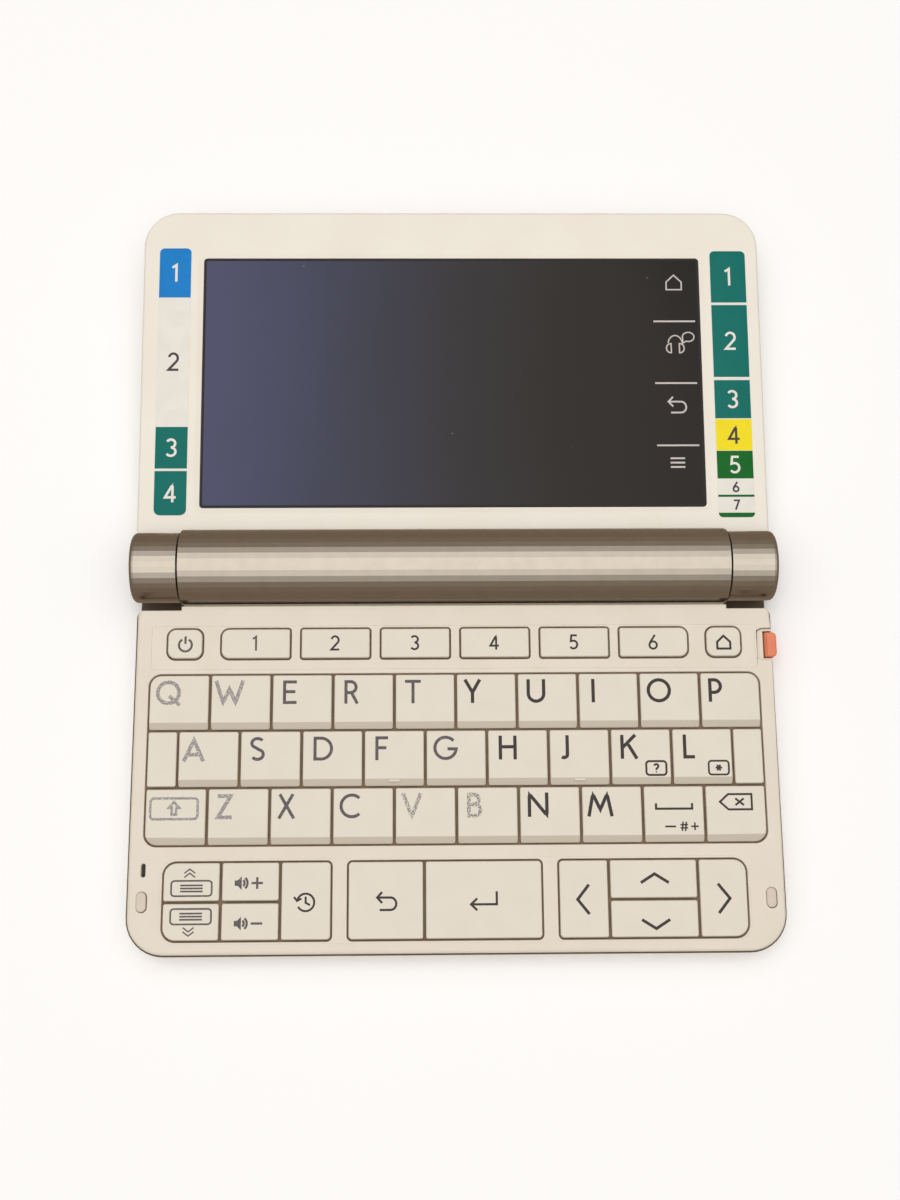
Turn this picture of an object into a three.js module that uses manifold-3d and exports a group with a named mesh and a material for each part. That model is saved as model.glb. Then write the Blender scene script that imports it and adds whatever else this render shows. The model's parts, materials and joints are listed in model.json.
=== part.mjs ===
// Pocket electronic dictionary with a hinged lid, opened flat.
// Millimetres, +Z up: x runs to the right, y to the back, the table is z = 0 and the hinge axis lies over y = 0.
import * as THREE from "three";
import { mergeVertices } from "three/addons/utils/BufferGeometryUtils.js";
import Module from "manifold-3d";

const wasm = await Module();
wasm.setup();

// Driving dimensions

// The two cells in line inside the barrel, and the barrel round them
const CELL_RADIUS = 7.1;
const CELL_LENGTH = 50.5;
const CELL_NUB_RADIUS = 2.75;
const CELL_NUB_LENGTH = 1.2;
const CELL_CLEARANCE = 0.4;
const CONTACT_LENGTH = 2.3;
const CONTACT_RADIUS = 2.2;
const CONTACT_GAP = 0.3;
const BARREL_WALL = 1.2;
const BARREL_TABLE_GAP = 0.2;
const PLUG_LENGTH = 9.75;
const FLANGE_THICKNESS = 2.2;
const FLANGE_DEPTH = 3.4;
const DOOR_GAP = 0.3;
const DOOR_BACK_DROP = 1.2;
const GRIP_DEPTH = 0.4;
const GRIP_WIDTH = 1;
const GRIP_PITCH = 2.2;
const GRIP_COUNT = 5;

// The end caps of the barrel, which turn with the lid
const CAP_RADIUS = 8.1;
const CAP_LENGTH = 10.65;
const CAP_JOINT = 0.5;
const CAP_OVERHANG = 1;
const CAP_EDGE = 1.1;
const CAP_SWEEP_GAP = 2;
const SHAFT_RADIUS = 3;
const SHAFT_CLEARANCE = 0.3;
const SHAFT_SHARE = 0.55;
const TONGUE_WIDTH = 5.4;
const TONGUE_SIDE_GAP = 0.6;
const TONGUE_THICKNESS = 1.8;
const TONGUE_REACH = 10;
const TONGUE_CLEARANCE = 0.3;

// The stack of the base, from the table up
const FOOT_HEIGHT = 0.4;
const FLOOR_THICKNESS = 1;
const STYLUS_DIAMETER = 2.8;
const STYLUS_CLEARANCE = 0.25;
const BOARD_THICKNESS = 1;
const MAT_THICKNESS = 0.3;
const KEY_STOP_GAP = 0.1;
const KEY_TRAVEL = 0.8;
const HOOK_THICKNESS = 0.4;
const HOOK_GAP = 0.1;
const RIB_THICKNESS = 0.9;
const KEY_CROWN = 0.7;
const KEY_PROUD = 0.2;
const LID_CLEARANCE = 0.4;

// The base in plan, from the barrel to the front edge
const REAR_SEAM = 0.45;
const REAR_STRIP = 5.35;
const FUNCTION_DEPTH = 7.3;
const FUNCTION_TO_BLOCK = 3.4;
const ROW_PITCH = 12.87;
const BLOCK_TO_CLUSTER = 3.4;
const CLUSTER_DEPTH = 17.3;
const FRONT_MARGIN = 3.2;
const CORNER_RADIUS = 8.5;
const REAR_CORNER = 1;
const CASE_WALL = 1.6;
const UNDERCUT = 6;
const DECK_EDGE = 0.8;
const DISH_DEPTH = 0.15;
const DISH_MARGIN_REAR = 0.5;
const DISH_MARGIN_FRONT = 2.3;

// The keyboard across
const BLOCK_MARGIN = 3.5;
const FUNCTION_INSET = 3.7;
const SINGLE_WIDTH = 8.4;
const SHORTCUT_INSET = 15.9;
const SHORTCUT_SPACE = 2.05;
const CLUSTER_INSET_LEFT = 4.5;
const CLUSTER_INSET_RIGHT = 5.1;
const CLUSTER_SPACE = 3.35;
const KEY_GAP = 0.55;
const BLOCK_CORNER = 2.8;
const FUNCTION_CORNER = 2;
const CLUSTER_CORNER = 3;
const MIDDLE_CORNER = 0.9;
const SQUARE_CORNER = 0.25;

// One key
const KEY_BEVEL = 0.2;
const KEY_BAND = 1.6;
const KEY_BAND_DROP = 0.45;
const KEY_LEDGE = 0.45;
const STEM_CLEARANCE = 0.2;
const STEM_WALL = 0.7;
const HOOK_REACH = 0.35;
const HOOK_LENGTH = 3;
const PLUNGER_RADIUS = 1.2;
const DOME_RADIUS = 3;
const DOME_TOP_SHARE = 0.6;
const DOME_HEIGHT = 0.7;
const DOME_CLEARANCE = 0.3;
const HOMING_LENGTH = 2.8;
const HOMING_WIDTH = 0.5;
const HOMING_HEIGHT = 0.15;
const HOMING_INSET = 1.1;

// The stylus in its side bay
const STYLUS_SHAFT = 68;
const STYLUS_TIP = 3;
const STYLUS_TIP_RADIUS = 0.5;
const STYLUS_HEAD_DEPTH = 2.8;
const STYLUS_HEAD_WIDTH = 5.8;
const STYLUS_HEAD_TOP_DROP = 0.4;
const STYLUS_HEAD_FOOT = 0.8;
const STYLUS_HEAD_TUCK = 1.2;
const STYLUS_HEAD_CORNER = 1.1;
const STYLUS_INSET = 4.2;
const BAY_WALL = 1;
const BAY_LENGTH = 30;
const HEAD_CLEARANCE = 0.3;
const RECESS_LENGTH = 7.6;
const RECESS_REACH = 2.2;
const RECESS_DEPTH = 1;
const RECESS_CORNER = 1.8;

// What holds and stands the base
const POST_RADIUS = 2.6;
const SCREW_RADIUS = 1.7;
const SCREW_DEPTH = 1.6;
const FOOT_LENGTH = 9;
const FOOT_WIDTH = 4;
const REAR_FOOT_WIDTH = 6;
const FOOT_INSET = 12;
const BOARD_CLEARANCE = 0.6;
const MAT_INSET = 1;
const CHIP_SIZE = 13;
const CHIP_HEIGHT = 1.5;
const MIC_LENGTH = 3;
const MIC_WIDTH = 1;
const MIC_INSET = 3.7;
const MIC_DROP = 1.8;
const BUMPER_LENGTH = 4.5;
const BUMPER_WIDTH = 2.4;
const BUMPER_INSET = 3.5;
const BUMPER_GAP = 0.05;
const BUMPER_RECESS = 0.4;

// The lid, measured from the hinge axis as if it lay flat, and the height of its far edge where the open lid stops
const LID_TIP_RISE = 5.35;
const LID_GAP = 0.5;
const EAR_CLEARANCE = 0.25;
const BEZEL_THICKNESS = 1.2;
const BEZEL_EDGE = 0.7;
const PANEL_THICKNESS = 2;
const PANEL_LIP = 2.5;
const PANEL_CLEARANCE = 0.1;
const GLASS_RECESS = 0.3;
const LID_RIB_HEIGHT = 1.4;
const LID_RIB_WIDTH = 1.6;
const LID_SKIN = 1.4;
const LID_EDGE = 2.4;
const WINDOW_START = 14.5;
const WINDOW_FAR_MARGIN = 11.6;
const WINDOW_SIDE_MARGIN = 14.35;
const WINDOW_CORNER = 0.9;
const WINDOW_CHAMFER = 1.2;

// Cuts run past the faces that they break by this much
const OVERRUN = 2;

// Shares of the span that each table follows
const CLUSTER_LEFT_SHARES = [0.345, 0.35, 0.305];
const CLUSTER_MIDDLE_SHARES = [0.394, 0.606];
const CLUSTER_RIGHT_SHARES = [0.268, 0.47, 0.262];
const CLUSTER_WIDTH_SHARES = [0.3045, 0.3523, 0.3432];
const CLUSTER_SPLIT_SHARE = 0.51;
const POST_X_SHARES = [-0.86, -0.3, 0.3, 0.86];
const POST_ROW_SHARES = [0.36, 0.9];
const CHIP_X_SHARES = [-0.55, -0.1, 0.45];
const CHIP_ROW_SHARE = 0.62;
const LID_RIB_SHARES = [-0.6, -0.2, 0.2, 0.6];

// How finely round forms are divided
const ROUND_STEPS = 40;
const SMALL_STEPS = 12;
const POST_STEPS = 8;
const DOME_STEPS = 5;
const CORNER_STEPS = 7;
const KEY_CORNER_STEPS = 3;
const EDGE_STEPS = 4;

// Sizes that follow from the driving ones
const boreRadius = CELL_RADIUS + CELL_CLEARANCE;
const barrelRadius = boreRadius + BARREL_WALL;
const axisHeight = barrelRadius + BARREL_TABLE_GAP;
const bayHalf = CELL_LENGTH + CONTACT_LENGTH + CONTACT_GAP;
const barrelHalf = bayHalf + PLUG_LENGTH;
const capStart = barrelHalf + CAP_JOINT;
const capEnd = capStart + CAP_LENGTH;
const caseHalf = capEnd - CAP_OVERHANG;
const shaftDepth = PLUG_LENGTH * SHAFT_SHARE;

const floorTop = FOOT_HEIGHT + FLOOR_THICKNESS;
const boardBottom = floorTop + STYLUS_DIAMETER + STYLUS_CLEARANCE + STYLUS_CLEARANCE;
const boardTop = boardBottom + BOARD_THICKNESS;
const matTop = boardTop + MAT_THICKNESS;
const hookBottom = matTop + KEY_STOP_GAP + KEY_TRAVEL;
const hookTop = hookBottom + HOOK_THICKNESS;
const deckBottom = hookTop + HOOK_GAP;
const ribTop = deckBottom + RIB_THICKNESS;
const crownBottom = ribTop + KEY_TRAVEL + KEY_STOP_GAP;
const keyTop = crownBottom + KEY_CROWN;
const deckTop = keyTop - KEY_PROUD;
const lidRise = keyTop + LID_CLEARANCE - axisHeight;
const plungerBottom = matTop + DOME_HEIGHT + KEY_STOP_GAP + KEY_TRAVEL;

const deckRear = -(barrelRadius + REAR_SEAM);
const notchRear = -(CAP_RADIUS + CAP_SWEEP_GAP);
const functionRear = deckRear - REAR_STRIP;
const functionFront = functionRear - FUNCTION_DEPTH;
const blockRear = functionFront - FUNCTION_TO_BLOCK;
const blockFront = blockRear - 3 * ROW_PITCH;
const clusterRear = blockFront - BLOCK_TO_CLUSTER;
const clusterFront = clusterRear - CLUSTER_DEPTH;
const caseFront = clusterFront - FRONT_MARGIN;
const blockHalf = caseHalf - BLOCK_MARGIN;
const columnPitch = (2 * blockHalf) / 10;
const halfGap = KEY_GAP / 2;

const lidHalf = capEnd;
const lidNear = barrelRadius + LID_GAP;
const lidFar = -caseFront;
const lidTilt = Math.asin(LID_TIP_RISE / lidFar);
const windowHalf = lidHalf - WINDOW_SIDE_MARGIN;
const windowFar = lidFar - WINDOW_FAR_MARGIN;
const bezelBottom = -lidRise - BEZEL_THICKNESS;
const panelBottom = bezelBottom - PANEL_THICKNESS;
const skinTop = panelBottom - LID_RIB_HEIGHT;
const skinBottom = skinTop - LID_SKIN;

const stylusY = functionRear - STYLUS_INSET;
const stylusZ = floorTop + STYLUS_CLEARANCE + STYLUS_DIAMETER / 2;
const stylusInner = capEnd - STYLUS_HEAD_DEPTH;

// Angles round the barrel, turned from the back over the top to the front
const flangeBottom = deckBottom - FLANGE_THICKNESS;
const doorBackAngle = -Math.asin(DOOR_BACK_DROP / barrelRadius);
const doorFrontAngle = Math.PI + Math.asin((axisHeight - flangeBottom + DOOR_GAP) / barrelRadius);

// Solids: three.js makes each form, and the solid library joins and cuts them

function solid(geometry) {
  const bare = geometry.index ? geometry.clone() : geometry;
  for (const name of Object.keys(bare.attributes)) {
    if (name !== "position") bare.deleteAttribute(name);
  }
  const merged = mergeVertices(bare);
  return new wasm.Manifold(
    new wasm.Mesh({
      numProp: 3,
      vertProperties: new Float32Array(merged.attributes.position.array),
      triVerts: new Uint32Array(merged.index.array),
    }),
  );
}

function join(...solids) {
  return solids.reduce((whole, piece) => whole.add(piece));
}

function cut(body, ...tools) {
  return tools.reduce((whole, tool) => whole.subtract(tool), body);
}

function meshGeometry(body) {
  const { vertProperties, triVerts } = body.getMesh();
  const geometry = new THREE.BufferGeometry();
  geometry.setAttribute("position", new THREE.BufferAttribute(vertProperties, 3));
  geometry.setIndex(new THREE.BufferAttribute(triVerts, 1));
  geometry.computeVertexNormals();
  return geometry;
}

function block(x0, x1, y0, y1, z0, z1) {
  const box = new THREE.BoxGeometry(x1 - x0, y1 - y0, z1 - z0);
  box.translate((x0 + x1) / 2, (y0 + y1) / 2, (z0 + z1) / 2);
  return solid(box);
}

// A rectangle with round corners, counter-clockwise from its front left corner.
// radii holds the corners in the order front left, front right, back right, back left,
// and steps says how finely each is divided, as one number or as a list in that order, where 0 is a sharp corner.
function outline(x0, x1, y0, y1, radii, steps) {
  const centres = [
    [x0 + radii[0], y0 + radii[0]],
    [x1 - radii[1], y0 + radii[1]],
    [x1 - radii[2], y1 - radii[2]],
    [x0 + radii[3], y1 - radii[3]],
  ];
  return centres.flatMap(([cx, cy], corner) => {
    const count = Array.isArray(steps) ? steps[corner] : steps;
    if (count === 0) {
      const [right, back] = [corner === 1 || corner === 2, corner > 1];
      return [[right ? x1 : x0, back ? y1 : y0]];
    }
    return Array.from({ length: count + 1 }, (_, i) => {
      const angle = Math.PI * (1 + corner / 2) + (Math.PI / 2) * (i / count);
      return [cx + radii[corner] * Math.cos(angle), cy + radii[corner] * Math.sin(angle)];
    });
  });
}

// Round corners are divided finely, and square ones stay sharp
function cornerSteps(corners) {
  return corners.map((radius) => (radius > SQUARE_CORNER ? KEY_CORNER_STEPS : 0));
}

// A closed skin over outlines that lie one above the other: rings is a list of [points, height].
function loft(rings) {
  const count = rings[0][0].length;
  const positions = rings.flatMap(([points, z]) => points.flatMap(([x, y]) => [x, y, z]));
  const faces = [];
  for (let ring = 0; ring + 1 < rings.length; ring++) {
    for (let i = 0; i < count; i++) {
      const a = ring * count + i;
      const b = ring * count + ((i + 1) % count);
      faces.push(a, b, b + count, a, b + count, a + count);
    }
  }
  const last = (rings.length - 1) * count;
  for (let i = 1; i + 1 < count; i++) {
    faces.push(0, i + 1, i);
    faces.push(last, last + i, last + i + 1);
  }
  const geometry = new THREE.BufferGeometry();
  geometry.setAttribute("position", new THREE.Float32BufferAttribute(positions, 3));
  geometry.setIndex(faces);
  return solid(geometry);
}

function slab(points, z0, z1) {
  return loft([
    [points, z0],
    [points, z1],
  ]);
}

// A form turned round the x direction: profile is a list of [radius, x] that starts and ends on the axis.
function turned(profile, steps) {
  const points = profile.map(([radius, along]) => new THREE.Vector2(radius, along));
  const lathe = new THREE.LatheGeometry(points, steps);
  lathe.rotateZ(-Math.PI / 2);
  return solid(lathe);
}

function rod(radius, x0, x1, steps) {
  return turned(
    [
      [0, x0],
      [radius, x0],
      [radius, x1],
      [0, x1],
    ],
    steps,
  );
}

// An upright round post, straight or tapered
function post(radius, x, y, z0, z1, topRadius = radius, steps = POST_STEPS) {
  const cylinder = new THREE.CylinderGeometry(topRadius, radius, z1 - z0, steps);
  cylinder.rotateX(Math.PI / 2);
  cylinder.translate(x, y, (z0 + z1) / 2);
  return solid(cylinder);
}

// A wedge of the barrel's section between two angles, carried along x
function wedge(from, to, x0, x1) {
  const reach = barrelRadius + OVERRUN;
  const shape = new THREE.Shape();
  shape.moveTo(0, 0);
  for (let i = 0; i <= SMALL_STEPS; i++) {
    const angle = from + ((to - from) * i) / SMALL_STEPS;
    shape.lineTo(reach * Math.cos(angle), reach * Math.sin(angle));
  }
  shape.closePath();
  const prism = new THREE.ExtrudeGeometry(shape, { depth: x1 - x0, bevelEnabled: false });
  const turn = new THREE.Matrix4().makeBasis(
    new THREE.Vector3(0, 1, 0),
    new THREE.Vector3(0, 0, 1),
    new THREE.Vector3(1, 0, 0),
  );
  prism.applyMatrix4(turn);
  prism.translate(x0, 0, 0);
  return solid(prism);
}

// The scene graph: the base stands still, and the lid's group has the hinge axis as its own x axis
// and is turned about it to where the open lid stops

const dictionary = new THREE.Group();
const base = new THREE.Group();
const lid = new THREE.Group();
lid.position.set(0, 0, axisHeight);
lid.rotation.x = lidTilt;
dictionary.add(base, lid);

const finishes = {
  ivory: { color: 0xe3dac6, roughness: 0.5, metalness: 0 },
  keycap: { color: 0xe6ddc9, roughness: 0.45, metalness: 0 },
  gloss: { color: 0xede8dc, roughness: 0.2, metalness: 0 },
  champagne: { color: 0xc3b8a5, roughness: 0.35, metalness: 0.8 },
  glass: { color: 0x1c1c24, roughness: 0.08, metalness: 0 },
  orange: { color: 0xe8845a, roughness: 0.4, metalness: 0 },
  board: { color: 0x2f5d3a, roughness: 0.6, metalness: 0 },
  cell: { color: 0x4a4d52, roughness: 0.4, metalness: 0.5 },
};

function place(group, name, body, finish, x = 0, y = 0, z = 0) {
  const mesh = new THREE.Mesh(meshGeometry(body), new THREE.MeshStandardMaterial(finishes[finish]));
  mesh.name = name;
  mesh.position.set(x, y, z);
  group.add(mesh);
}

// Keyboard layout

// Each key is a cell of the layout: its edges, its round corners, and whether its front slopes down.
function keyCell(name, x0, x1, y0, y1, corners, sloped) {
  return { name, x0, x1, y0, y1, corners, sloped };
}

const square = [SQUARE_CORNER, SQUARE_CORNER, SQUARE_CORNER, SQUARE_CORNER];

function functionRow() {
  const single = [FUNCTION_CORNER, FUNCTION_CORNER, FUNCTION_CORNER, FUNCTION_CORNER];
  const edge = blockHalf - FUNCTION_INSET;
  const keys = [
    keyCell("key_power", -edge, -edge + SINGLE_WIDTH, functionFront, functionRear, single, false),
    keyCell("key_home", edge - SINGLE_WIDTH, edge, functionFront, functionRear, single, false),
  ];
  const half = blockHalf - SHORTCUT_INSET;
  const width = (2 * half - 5 * SHORTCUT_SPACE) / 6;
  for (let i = 0; i < 6; i++) {
    const x0 = -half + i * (width + SHORTCUT_SPACE);
    const left = i === 0 ? FUNCTION_CORNER : SQUARE_CORNER;
    const right = i === 5 ? FUNCTION_CORNER : SQUARE_CORNER;
    const name = `key_shortcut_${i + 1}`;
    keys.push(keyCell(name, x0, x0 + width, functionFront, functionRear, [left, right, right, left], false));
  }
  return keys;
}

const letterRows = [
  ["q", "w", "e", "r", "t", "y", "u", "i", "o", "p"],
  ["a", "s", "d", "f", "g", "h", "j", "k", "l"],
  ["shift", "z", "x", "c", "v", "b", "n", "m", "space", "delete"],
];

function mainBlock() {
  return letterRows.flatMap((letters, row) => {
    const start = -(letters.length * columnPitch) / 2;
    const y1 = blockRear - row * ROW_PITCH;
    return letters.map((letter, i) => {
      const corners = [...square];
      if (row === 0 && i === 0) corners[3] = BLOCK_CORNER;
      if (row === 0 && i === letters.length - 1) corners[2] = BLOCK_CORNER;
      if (row === 2 && i === 0) corners[0] = BLOCK_CORNER;
      if (row === 2 && i === letters.length - 1) corners[1] = BLOCK_CORNER;
      const x0 = start + i * columnPitch;
      return keyCell(`key_${letter}`, x0, x0 + columnPitch, y1 - ROW_PITCH, y1, corners, true);
    });
  });
}

// The three groups below the letters, as spans across the deck
function clusterSpans() {
  const start = -(blockHalf - CLUSTER_INSET_LEFT);
  const end = blockHalf - CLUSTER_INSET_RIGHT;
  const free = end - start - 2 * CLUSTER_SPACE;
  const total = CLUSTER_WIDTH_SHARES.reduce((sum, share) => sum + share);
  let x = start;
  return CLUSTER_WIDTH_SHARES.map((share) => {
    const span = [x, x + (free * share) / total];
    x = span[1] + CLUSTER_SPACE;
    return span;
  });
}

// Edges of the columns inside one group
function columnEdges([x0, x1], shares) {
  const total = shares.reduce((sum, share) => sum + share);
  const edges = [x0];
  for (const share of shares) edges.push(edges.at(-1) + ((x1 - x0) * share) / total);
  return edges;
}

function clusterKeys() {
  const [leftSpan, middleSpan, rightSpan] = clusterSpans();
  const split = clusterRear - CLUSTER_DEPTH * CLUSTER_SPLIT_SHARE;
  const left = columnEdges(leftSpan, CLUSTER_LEFT_SHARES);
  const middle = columnEdges(middleSpan, CLUSTER_MIDDLE_SHARES);
  const right = columnEdges(rightSpan, CLUSTER_RIGHT_SHARES);
  const s = SQUARE_CORNER;
  const m = MIDDLE_CORNER;
  const c = CLUSTER_CORNER;
  return [
    keyCell("key_heading_up", left[0], left[1], split, clusterRear, [s, s, s, c], false),
    keyCell("key_heading_down", left[0], left[1], clusterFront, split, [c, s, s, s], false),
    keyCell("key_volume_up", left[1], left[2], split, clusterRear, square, false),
    keyCell("key_volume_down", left[1], left[2], clusterFront, split, square, false),
    keyCell("key_history", left[2], left[3], clusterFront, clusterRear, [s, m, m, s], false),
    keyCell("key_back", middle[0], middle[1], clusterFront, clusterRear, [m, s, s, m], false),
    keyCell("key_enter", middle[1], middle[2], clusterFront, clusterRear, [s, m, m, s], false),
    keyCell("key_left", right[0], right[1], clusterFront, clusterRear, [m, s, s, m], false),
    keyCell("key_up", right[1], right[2], split, clusterRear, square, false),
    keyCell("key_down", right[1], right[2], clusterFront, split, square, false),
    keyCell("key_right", right[2], right[3], clusterFront, clusterRear, [s, c, c, s], false),
  ];
}

const functionKeys = functionRow();
const blockKeys = mainBlock();
const lowerKeys = clusterKeys();
const keys = [...functionKeys, ...blockKeys, ...lowerKeys];

// The crown of a key or of a fixed infill: straight sides, bevelled edges and, on letter keys, a front slope
function crown(width, depth, corners, sloped, z0, top) {
  const radii = corners.map((radius) => Math.max(radius - halfGap, KEY_BEVEL + KEY_BEVEL));
  const inner = radii.map((radius) => radius - KEY_BEVEL);
  const band = sloped ? KEY_BAND : KEY_BEVEL;
  const drop = sloped ? KEY_BAND_DROP : KEY_BEVEL;
  const [x, y] = [width / 2, depth / 2];
  const steps = cornerSteps(corners);
  const foot = outline(-x, x, -y, y, radii, steps);
  const face = outline(-x + KEY_BEVEL, x - KEY_BEVEL, -y + band, y - KEY_BEVEL, inner, steps);
  return loft([
    [foot, z0],
    [foot, top - drop],
    [face, top],
  ]);
}

// Keys: a crown, a hollow stem that passes the deck's ribs, two hooks under the ribs and a plunger
for (const cell of keys) {
  const width = cell.x1 - cell.x0 - KEY_GAP;
  const depth = cell.y1 - cell.y0 - KEY_GAP;
  const stemX = width / 2 - KEY_LEDGE - STEM_CLEARANCE;
  const stemY = depth / 2 - KEY_LEDGE - STEM_CLEARANCE;
  const hookX = width / 2 - KEY_LEDGE + HOOK_REACH;
  const hookHalf = HOOK_LENGTH / 2;
  const [holeX, holeY] = [stemX - STEM_WALL, stemY - STEM_WALL];
  const wallX = stemX - STEM_WALL / 2;
  const middle = crownBottom + KEY_CROWN / 2;
  const stem = cut(
    block(-stemX, stemX, -stemY, stemY, hookBottom, middle),
    block(-holeX, holeX, -holeY, holeY, hookBottom - OVERRUN, crownBottom),
  );
  const pieces = [
    crown(width, depth, cell.corners, cell.sloped, crownBottom, keyTop),
    stem,
    block(-hookX, -wallX, -hookHalf, hookHalf, hookBottom, hookTop),
    block(wallX, hookX, -hookHalf, hookHalf, hookBottom, hookTop),
    post(PLUNGER_RADIUS, 0, 0, plungerBottom, middle, PLUNGER_RADIUS, DOME_STEPS),
  ];
  if (cell.name === "key_f" || cell.name === "key_j") {
    const y = -depth / 2 + HOMING_INSET;
    const z = keyTop + HOMING_HEIGHT;
    pieces.push(block(-HOMING_LENGTH / 2, HOMING_LENGTH / 2, y, y + HOMING_WIDTH, middle, z));
  }
  place(base, cell.name, join(...pieces), "keycap", (cell.x0 + cell.x1) / 2, (cell.y0 + cell.y1) / 2);
}

// A pocket in the deck round one key or one group of keys
function pocket(x0, x1, y0, y1, corners) {
  const radii = corners.map((radius) => radius + halfGap);
  const steps = cornerSteps(corners);
  const points = outline(x0 - halfGap, x1 + halfGap, y0 - halfGap, y1 + halfGap, radii, steps);
  return slab(points, ribTop, deckTop + OVERRUN);
}

// The deck's plan, drawn in by inset at the sides and the front
function basePlan(inset) {
  const front = Math.max(CORNER_RADIUS - inset, REAR_CORNER);
  const radii = [front, front, REAR_CORNER, REAR_CORNER];
  const x = caseHalf - inset;
  return outline(-x, x, caseFront + inset, notchRear, radii, CORNER_STEPS);
}

// Keyboard deck: a plate with round edges, pockets for the key crowns and a grid of ribs that hold the keys
function keyboardDeck() {
  const rings = [[basePlan(0), deckBottom]];
  for (let i = 0; i <= EDGE_STEPS; i++) {
    const angle = (Math.PI / 2) * (i / EDGE_STEPS);
    const z = deckTop - DECK_EDGE + DECK_EDGE * Math.sin(angle);
    rings.push([basePlan(DECK_EDGE * (1 - Math.cos(angle))), z]);
  }
  const strip = block(-barrelHalf, barrelHalf, notchRear - REAR_CORNER, deckRear, deckBottom, deckTop);
  const half = blockHalf - SQUARE_CORNER;
  const dish = slab(
    outline(
      -half,
      half,
      functionFront - DISH_MARGIN_FRONT,
      functionRear + DISH_MARGIN_REAR,
      square,
      0,
    ),
    deckTop - DISH_DEPTH,
    deckTop + OVERRUN,
  );
  const c = BLOCK_CORNER;
  const [left, middle, right] = clusterSpans();
  const ends = [CLUSTER_CORNER, MIDDLE_CORNER];
  const pockets = [
    ...functionKeys.map((key) => pocket(key.x0, key.x1, key.y0, key.y1, key.corners)),
    pocket(-blockHalf, blockHalf, blockFront, blockRear, [c, c, c, c]),
    pocket(...left, clusterFront, clusterRear, [ends[0], ends[1], ends[1], ends[0]]),
    pocket(...middle, clusterFront, clusterRear, [ends[1], ends[1], ends[1], ends[1]]),
    pocket(...right, clusterFront, clusterRear, [ends[1], ends[0], ends[0], ends[1]]),
  ];
  const inset = halfGap + KEY_LEDGE;
  const openings = keys.map((key) =>
    block(
      key.x0 + inset,
      key.x1 - inset,
      key.y0 + inset,
      key.y1 - inset,
      deckBottom - OVERRUN,
      deckTop + OVERRUN,
    ),
  );
  const plate = cut(join(loft(rings), strip), dish, ...pockets, ...openings);
  return cut(join(plate, ...infills(), ...bumpers()), ...stylusRecess(), micSlot());
}

// Fixed infills at both ends of the middle letter row
function infills() {
  const start = (letterRows[1].length * columnPitch) / 2;
  const width = blockHalf - start - KEY_GAP;
  const depth = ROW_PITCH - KEY_GAP;
  const y = blockRear - ROW_PITCH * 1.5;
  return [-1, 1].map((side) => {
    const x = (side * (start + blockHalf)) / 2;
    return crown(width, depth, square, true, deckBottom, keyTop).translate([x, y, 0]);
  });
}

function bumpers() {
  const y = clusterRear - CLUSTER_DEPTH / 2;
  const radius = BUMPER_WIDTH / 2 - BUMPER_GAP;
  const radii = [radius, radius, radius, radius];
  const top = keyTop + LID_CLEARANCE - BUMPER_GAP;
  return [-1, 1].map((side) => {
    const x = side * (caseHalf - BUMPER_INSET);
    const [w, l] = [BUMPER_WIDTH / 2, BUMPER_LENGTH / 2];
    return slab(outline(x - w, x + w, y - l, y + l, radii, KEY_CORNER_STEPS), deckTop - BUMPER_RECESS, top);
  });
}

function micSlot() {
  const x = -(caseHalf - MIC_INSET);
  const y = clusterRear - MIC_DROP;
  const [w, l] = [MIC_WIDTH / 2, MIC_LENGTH / 2];
  const radius = w - BUMPER_GAP;
  const points = outline(x - w, x + w, y - l, y + l, [radius, radius, radius, radius], KEY_CORNER_STEPS);
  return slab(points, deckBottom - OVERRUN, deckTop + OVERRUN);
}

// The slot of the stylus head, open to the side
function headSlot(z0, z1) {
  const half = STYLUS_HEAD_WIDTH / 2 + HEAD_CLEARANCE;
  return block(stylusInner - HEAD_CLEARANCE, capEnd + OVERRUN, stylusY - half, stylusY + half, z0, z1);
}

// The finger recess in the deck behind the stylus head, and the head's slot through the deck
function stylusRecess() {
  const half = RECESS_LENGTH / 2;
  const radii = [RECESS_CORNER, SQUARE_CORNER, SQUARE_CORNER, RECESS_CORNER];
  const x0 = stylusInner - RECESS_REACH;
  const points = outline(x0, capEnd + OVERRUN, stylusY - half, stylusY + half, radii, CORNER_STEPS);
  return [
    slab(points, deckTop - RECESS_DEPTH, deckTop + OVERRUN),
    headSlot(deckBottom - OVERRUN, deckTop + OVERRUN),
  ];
}

// How far the lower case is drawn in at a height: a quarter of an ellipse down to its flat underside
function undercutAt(z) {
  const rise = deckBottom - FOOT_HEIGHT;
  const share = Math.min((deckBottom - z) / rise, 1);
  return UNDERCUT * (1 - Math.sqrt(1 - share * share));
}

// Screw posts that carry the board, in two rows across the floor
function postPlaces() {
  const span = clusterFront - deckRear;
  return POST_ROW_SHARES.flatMap((row) => POST_X_SHARES.map((across) => [across * blockHalf, deckRear + row * span]));
}

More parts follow.
